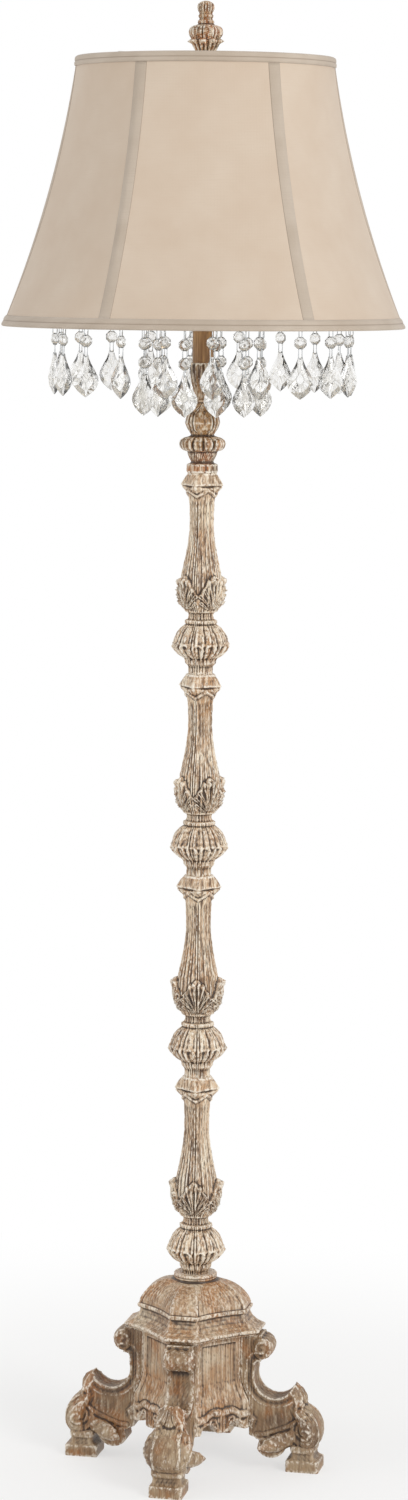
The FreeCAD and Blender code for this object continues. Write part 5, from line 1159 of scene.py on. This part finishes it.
FRAME_WIRE = 1.5       # radius of the wire
BEHIND = 2.7           # from the outside of the cloth in to the middle of the wire
SPIDER_MIDDLE = 1513.0
WASHER = [(3.4, 1512.5), (9.0, 1512.5), (9.0, 1514.5), (3.4, 1514.5)]    # radius and height of its corners
TOP_RING = 2.8         # the rings' drops below the shade's top edge
LOWER_RING = SHADE_DROP - 3.0
frame_parts = []
for drop in (TOP_RING, LOWER_RING):
    ring = around(all_round(120), flare(drop) - BEHIND, SHADE_TOP - drop)
    frame_parts.append(wire_along(ring, FRAME_WIRE, closed=True))
for number in range(PANELS):
    turn = SHADE_FACES + PANEL_TURN * (number + 0.5)
    rib = [around([turn], flare(drop) - BEHIND, SHADE_TOP - drop)[0]
           for drop in np.linspace(TOP_RING + 0.2, LOWER_RING - 0.2, 24)]
    frame_parts.append(wire_along(rib, FRAME_WIRE))
for turn in (90, 210, 330):
    arm = [around([turn], reach, SPIDER_MIDDLE)[0] for reach in (8.5, 60.0, flare(TOP_RING) - BEHIND)]
    frame_parts.append(wire_along(arm, FRAME_WIRE))
washer = [around(all_round(48), radius, height) for radius, height in WASHER]
frame_parts.append((np.concatenate(washer), grid_faces(4, 48, wrap_rows=True).tolist()))
enamel = new_material("white_enamelled_wire", Base_Color="#E9E6DF", Roughness=0.35)
mottle = over(enamel, "#E9E6DF", ("#D6D2C8", grain_of(enamel, 5.0), 0.35, 0.65, 1.0))
wire_up(enamel, Base_Color=mottle)
wire_frame = make_piece("welded_wire_frame", merged("welded_wire_frame", frame_parts), enamel, "shade")
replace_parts(wire_frame, "shade_frame")
print(wire_frame.name, "parts", len(frame_parts))

# %% [markdown]
# ## The crystals
# Twenty strings with one bead and twelve with two hang on two wire rings. A string is a hook, flat octagonal
# beads and a leaf-shaped drop, joined by thin wire links that run into the stones' ends. Cut crystal shows
# flat facets, so its faces stay flat. All strings of a ring share one mesh of metal and one of glass, set in
# place by a turn about the axis. The glass hangs freely, so every string has come to rest with a twist of
# its own.

# %% Cut crystal
GOLDEN = 0.618034    # golden ratio: steps of it give neighbours far-apart painted reflection tones


def cut_stone(outline, girdle, crown, crown_depth, table, table_depth):
    """Flat stone with a thin girdle, and on both faces a crown of facets and a smaller table. Points of the
    outline are (across, up)."""
    outline = np.array(outline, float)
    middle = outline.mean(axis=0)
    between = (outline + np.roll(outline, -1, axis=0)) / 2
    count = len(outline)
    face = 3 * count    # points on one face
    points, faces = [], []
    for sign in (1, -1):
        for ring, share, depth in ((outline, 1.0, girdle / 2), (between, crown, crown_depth),
                                   (outline, table, table_depth)):
            points += [(x, sign * depth, z) for x, z in middle + (ring - middle) * share]
    for here in range(count):
        after = (here + 1) % count
        faces.append([here, here + face, after + face, after])
        for back in (0, face):
            g0, c0, t0 = range(here + back, here + face + back, count)
            g1, c1, t1 = range(after + back, after + face + back, count)
            facets = [[g0, g1, c0], [g1, c1, c0], [c0, c1, t1], [c0, t1, t0]]
            faces += [facet[::-1] for facet in facets] if back else facets
    top = list(range(2 * count, 3 * count))
    return points, faces + [top, [i + face for i in top[::-1]]]


def bead(middle):
    """Octagonal bead, 14 mm across and 6 mm deep."""
    outline = [(7.0 * math.sin(angle), middle + 7.0 * math.cos(angle))
               for angle in np.radians(np.arange(22.5, 382.5, 45))]
    return cut_stone(outline, 1.4, 0.74, 2.4, 0.42, 3.0)


def drop_stone(top):
    """Leaf-shaped drop, 45 mm long, 28 mm wide and 8 mm deep, with a keel down its middle."""
    half = [(2.2, 0.0), (3.4, 4.4), (5.6, 9.6), (9.8, 16.4), (13.4, 23.4), (14.0, 28.6), (12.4, 33.4),
            (9.6, 37.4), (4.8, 41.6), (0.0, 45.0)]
    other_half = [(-side, down) for side, down in half[-2::-1]]
    return cut_stone([(side, top - down) for side, down in half + other_half], 1.3, 0.68, 2.9, 0.3, 4.0)


def wire_link(top, bottom, half=2.4, wire=0.55, facing=True):
    """Closed wire link between two heights, flat to the front or turned a quarter."""
    path = []
    straight = (top - bottom) / 2 - half
    for angle in all_round(28, math.tau):
        lift = straight if math.sin(angle) >= 0 else -straight
        side = half * math.cos(angle)
        path.append((side * facing, side * (not facing), (top + bottom) / 2 + lift + half * math.sin(angle)))
    return wire_along(path, wire, closed=True)


def cut_crystal():
    """Lead crystal, cut and polished. Each facet gets a tone of its own, a painted reflection, and the
    ridges between facets are drawn as fine grey lines of painted shade, because they are never quite
    sharp. The lines are 0.2 mm wide, coarser than real ones."""
    material = new_material("cut_lead_crystal", Roughness=0.0, IOR=1.47, Transmission_Weight=0.95,
                            Coat_Weight=0.3, Coat_Roughness=0.02)
    facet = add_node(material, "ShaderNodeAttribute", out="Fac", attribute_name="facet")
    # painted reflections: each facet a tone from white to grey
    tone = add_node(material, "ShaderNodeValToRGB", {"Fac": facet}, stops=[
        (0.0, "#FFFFFF"), (0.8, "#FFFEFB"), (0.88, "#F2F0EA"), (0.95, "#D6D2CA"), (0.99, "#A8A39B")])
    # painted shade: fine grey lines along the facets' ridges
    ridge = add_node(material, "ShaderNodeWireframe", {"Size": 0.2 * MM})
    return wire_up(material, Base_Color=over(material, tone, ("#A19D97", ridge, 0.0, 1.0, 0.6)))


def mark_facets(mesh):
    """Give every facet a painted reflection tone of its own, the same at every run."""
    keep(mesh, "facet", (np.arange(len(mesh.polygons)) * GOLDEN + 0.13) % 1.0, domain="FACE")


def bright_metal(name, colour, roughness, size=3.0):
    """Plated or polished metal: a clear colour, with roughness that varies a little from handling."""
    material = new_material(name, Base_Color=colour, Metallic=1.0)
    worn = grain_of(material, size)
    rough = add_node(material, "ShaderNodeMapRange", {
        "Value": worn, "From Min": 0.3, "From Max": 0.7, "To Min": roughness * 0.7,
        "To Max": roughness * 1.4})
    fine = add_node(material, "ShaderNodeBump", {"Height": worn, "Distance": 0.05 * MM, "Strength": 0.2})
    return wire_up(material, Roughness=rough, Normal=fine)


CRYSTAL = cut_crystal()
CHROME = bright_metal("polished_chrome_wire", "#C9CBCC", 0.12)

# %% Hang the strings
RING_PLANE = 1233.1
TIERS = {  # count, first turn, ring radius, then below the ring: middles of beads, drop's top, ends of links
    "outer": (20, -2.0, 160.0, [-24.5], -39.0, [(-2.3, -11.4), (-10.0, -19.4), (-29.6, -41.4)]),
    "inner": (12, -5.0, 65.0, [-29.0, -49.3], -61.2,
              [(-2.3, -13.6), (-12.2, -23.8), (-34.2, -44.2), (-54.4, -63.4)]),
}
for tier, (count, first_turn, reach, beads, drop_top, links) in TIERS.items():
    metal_parts = [wire_link(3.1, -3.1, 3.0, 0.6, facing=False)]
    metal_parts += [wire_link(*ends, facing=index % 2 == 0) for index, ends in enumerate(links)]
    metal_mesh = merged(f"{tier}_string_wire", metal_parts)
    glass_mesh = merged(f"{tier}_string_glass", [*map(bead, beads), drop_stone(drop_top)])
    mark_facets(glass_mesh)
    for index in range(count):
        turn = first_turn + index * 360.0 / count
        x, y = ahead(turn)
        for kind, mesh, material in (("links", metal_mesh, CHROME), ("glass", glass_mesh, CRYSTAL)):
            piece = make_piece(f"{tier}_{kind}_{index + 1:02d}", mesh, material,
                               f"string_{tier}_{index + 1:02d}", smooth=kind == "links")
            piece.location = (x * reach * MM, y * reach * MM, RING_PLANE * MM)
            twist = 0 if kind == "links" else 22 * math.sin(index * 2.4 + reach) - 0.5 * wrap(turn, 180)
            piece.rotation_euler = (0, 0, math.radians(turn + twist))
            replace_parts(piece, f"crystal_{tier}_{index + 1:02d}")
    print(tier, "ring has", count, "strings")

# %% [markdown]
# ## Fittings
# The plain parts are as they should be already and only need their real finish: a candle sleeve stained
# like the rest, a chromed crystal frame, a brass socket, saddle and harp, zinc-plated pipe and nut, black
# switch, cast iron weight and a frosted bulb.

# %% Finishes of the plain parts
def stained_sleeve():
    """Wood-effect sleeve: a warm brown stain with darker grain along its height, under satin lacquer."""
    material = new_material("brown_stained_candle_sleeve", Roughness=0.45)
    grain = grain_of(material, 1.6, 40, 5.0)
    patch = grain_of(material, 14)
    colour = add_node(material, "ShaderNodeValToRGB", {"Fac": grain}, stops=[
        (0.3, "#6E4A2C"), (0.5, "#A0774C"), (0.7, "#C49C6B")])
    colour = over(material, colour, ("#B98A52", patch, 0.5, 0.7, 0.5))
    pores = add_node(material, "ShaderNodeBump", {"Height": grain, "Distance": 0.2 * MM, "Strength": 0.4})
    return wire_up(material, Base_Color=colour, Normal=pores)


def mottled(name, light, dark, size, **surface):
    """Coated, moulded or cast surface with a faint mottle of a real size and a fine bump."""
    material = new_material(name, **surface)
    cloud = grain_of(material, size)
    colour = add_node(material, "ShaderNodeValToRGB", {"Fac": cloud}, stops=[(0.35, dark), (0.65, light)])
    skin = add_node(material, "ShaderNodeBump", {"Height": cloud, "Distance": 0.1 * MM, "Strength": 0.3})
    return wire_up(material, Base_Color=colour, Normal=skin)


brass = bright_metal("lacquered_brass", "#C9A35C", 0.22, 8.0)
zinc = bright_metal("zinc_plated_steel", "#B9BBBD", 0.34, 4.0)
finishes = {
    "candle_sleeve": stained_sleeve(), "crystal_frame": CHROME, "lamp_pipe": zinc, "base_nut": zinc,
    "counterweight": mottled("sand_cast_iron", "#4A4A4A", "#333434", 1.5, Roughness=0.7, Metallic=0.6),
    "cord_bushing": mottled("black_moulded_nylon", "#1E1E1E", "#161616", 2.0, Roughness=0.45),
    "socket_cap": brass, "socket_shell": brass, "harp_saddle": brass, "harp": brass,
    "harp_ferrule_left": brass, "harp_ferrule_right": brass,
    "switch_knob": mottled("black_bakelite", "#1C1817", "#120F0E", 3.0, Roughness=0.25),
    "bulb": mottled("frosted_bulb_glass", "#F6F1E4", "#EFE8D8", 8.0, Roughness=0.35,
                    Transmission_Weight=0.35, Emission_Color="#FFE9CC", Emission_Strength=1.5),
}
for node, material in finishes.items():
    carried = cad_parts[node]
    carried = bpy.data.objects[carried] if isinstance(carried, str) else carried
    for slot in carried.material_slots:
        slot.material = material
print("finished", len(finishes), "plain parts")

# %% [markdown]
# ## The stage
# A plain pale floor and a white surround, as in a product studio. The floor catches the lamp's soft shadow.
# The camera, mirrors and glass see the surround as pure white, while the lamp itself is lit by a quieter
# grey world and two large soft lamps, so its colours come out about as they are written.

# %% Floor and surround
FLOOR_HALF = 6000
WORLD_LIGHT = 0.62     # how bright the surround is to the lamp


def ray_share(owner, *kinds):
    """1 for rays of these kinds and 0 for all others."""
    share = 0.0
    for kind in kinds:
        ray = add_node(owner, "ShaderNodeLightPath", out=f"Is {kind} Ray")
        share = add_node(owner, "ShaderNodeMath", {0: share, 1: ray}, operation="MAXIMUM")
    return share


def show_white(owner, shader, share, white, output):
    """Lay a white shader over the first shader by a share, and join them to the output node."""
    nodes = owner.node_tree.nodes
    both = add_node(owner, "ShaderNodeMixShader", {0: share, 1: nodes[shader].outputs[0], 2: white})
    owner.node_tree.links.new(both, nodes[output].inputs["Surface"])


def studio_floor():
    """Matt white floor, lifted to white for the camera and fully so away from the lamp's shadow."""
    material = new_material("matt_white_studio_floor", Base_Color="#F4F3F1", Roughness=0.9)
    place = add_node(material, "ShaderNodeTexCoord", out="Object")
    away = add_node(material, "ShaderNodeVectorMath", {"Vector": place}, out="Value", operation="LENGTH")
    fade = add_node(material, "ShaderNodeMapRange", {
        "Value": away, "From Min": 0.25, "From Max": 1.0, "To Min": 0.6}, interpolation_type="SMOOTHSTEP")
    seen, mirrored = ray_share(material, "Camera"), ray_share(material, "Glossy", "Transmission")
    lifted = add_node(material, "ShaderNodeMath", {0: seen, 1: fade}, operation="MULTIPLY")
    share = add_node(material, "ShaderNodeMath", {0: lifted, 1: mirrored}, operation="MAXIMUM")
    white = add_node(material, "ShaderNodeEmission", {"Color": "#FFFFFF", "Strength": 1.0})
    show_white(material, "Principled BSDF", share, white, "Material Output")
    return material


corners = [(x * FLOOR_HALF, y * FLOOR_HALF, 0) for x, y in ((-1, -1), (1, -1), (1, 1), (-1, 1))]
floor = bpy.data.objects.new("studio_floor", make_mesh("studio_floor", corners, [(0, 1, 2, 3)]))
floor.data.materials.append(studio_floor())
bpy.context.scene.collection.objects.link(floor)

world = bpy.data.worlds.new("white_surround")
bpy.context.scene.world = world
world.use_nodes = True
soft = world.node_tree.nodes["Background"]
soft.inputs["Color"].default_value = linear("#FFFFFF")
soft.inputs["Strength"].default_value = WORLD_LIGHT
white = add_node(world, "ShaderNodeBackground", {"Color": "#FFFFFF", "Strength": 1.0})
show_white(world, "Background", ray_share(world, "Camera", "Glossy", "Transmission"), white, "World Output")
print("floor and surround are in place")

# %% [markdown]
# ### Lamps
# One large lamp from the front right and above gives the carving its shadows. A weaker one from the left
# keeps the shaded side readable. Both are far away and wide, so that shadows stay soft.

# %% Lamps
AIM = Vector((0, 0, 0.8))    # half way up the lamp
LAMPS = {  # name: place in metres, size in metres, watts
    "softbox_right": ((3.1, -2.3, 2.5), 1.6, 70.0),
    "softbox_left": ((-3.2, -1.6, 1.9), 2.2, 26.0),
}
for name, (place, side, power) in LAMPS.items():
    lamp = bpy.data.lights.new(name, "AREA")
    lamp.size = side
    lamp.energy = power
    holder = bpy.data.objects.new(name, lamp)
    holder.location = place
    holder.rotation_euler = (AIM - holder.location).to_track_quat("-Z", "Y").to_euler()
    bpy.context.scene.collection.objects.link(holder)
    print(name, power, "W")

# %% [markdown]
# ### Camera
# A long lens stands 4.27 m away at eye height and looks level, a little from the right of the front leg. It
# is shifted down instead of tilted, so that upright lines stay upright, and it leans by half a degree.

# %% Camera
CAMERA_TURN = 12.5
CAMERA_AWAY = 4.27     # metres, as are the next three
CAMERA_HEIGHT = 1.3
FRAME_HEIGHT = 1.6185
FRAME_MIDDLE = 0.766
LEAN = -0.48
camera = bpy.data.cameras.new("camera")
camera.sensor_fit = "VERTICAL"
camera.sensor_height = 36.0
camera.lens = camera.sensor_height * CAMERA_AWAY / FRAME_HEIGHT
camera.shift_y = (FRAME_MIDDLE - CAMERA_HEIGHT) / FRAME_HEIGHT
eye = bpy.data.objects.new("camera", camera)
x, y = ahead(CAMERA_TURN)
eye.location = (x * CAMERA_AWAY, y * CAMERA_AWAY, CAMERA_HEIGHT)
eye.rotation_euler = (math.radians(90), math.radians(LEAN), math.radians(CAMERA_TURN))
bpy.context.scene.collection.objects.link(eye)
bpy.context.scene.camera = eye
bpy.context.scene.view_settings.view_transform = "Standard"
print("lens", round(camera.lens, 1), "mm, shift", round(camera.shift_y, 3))
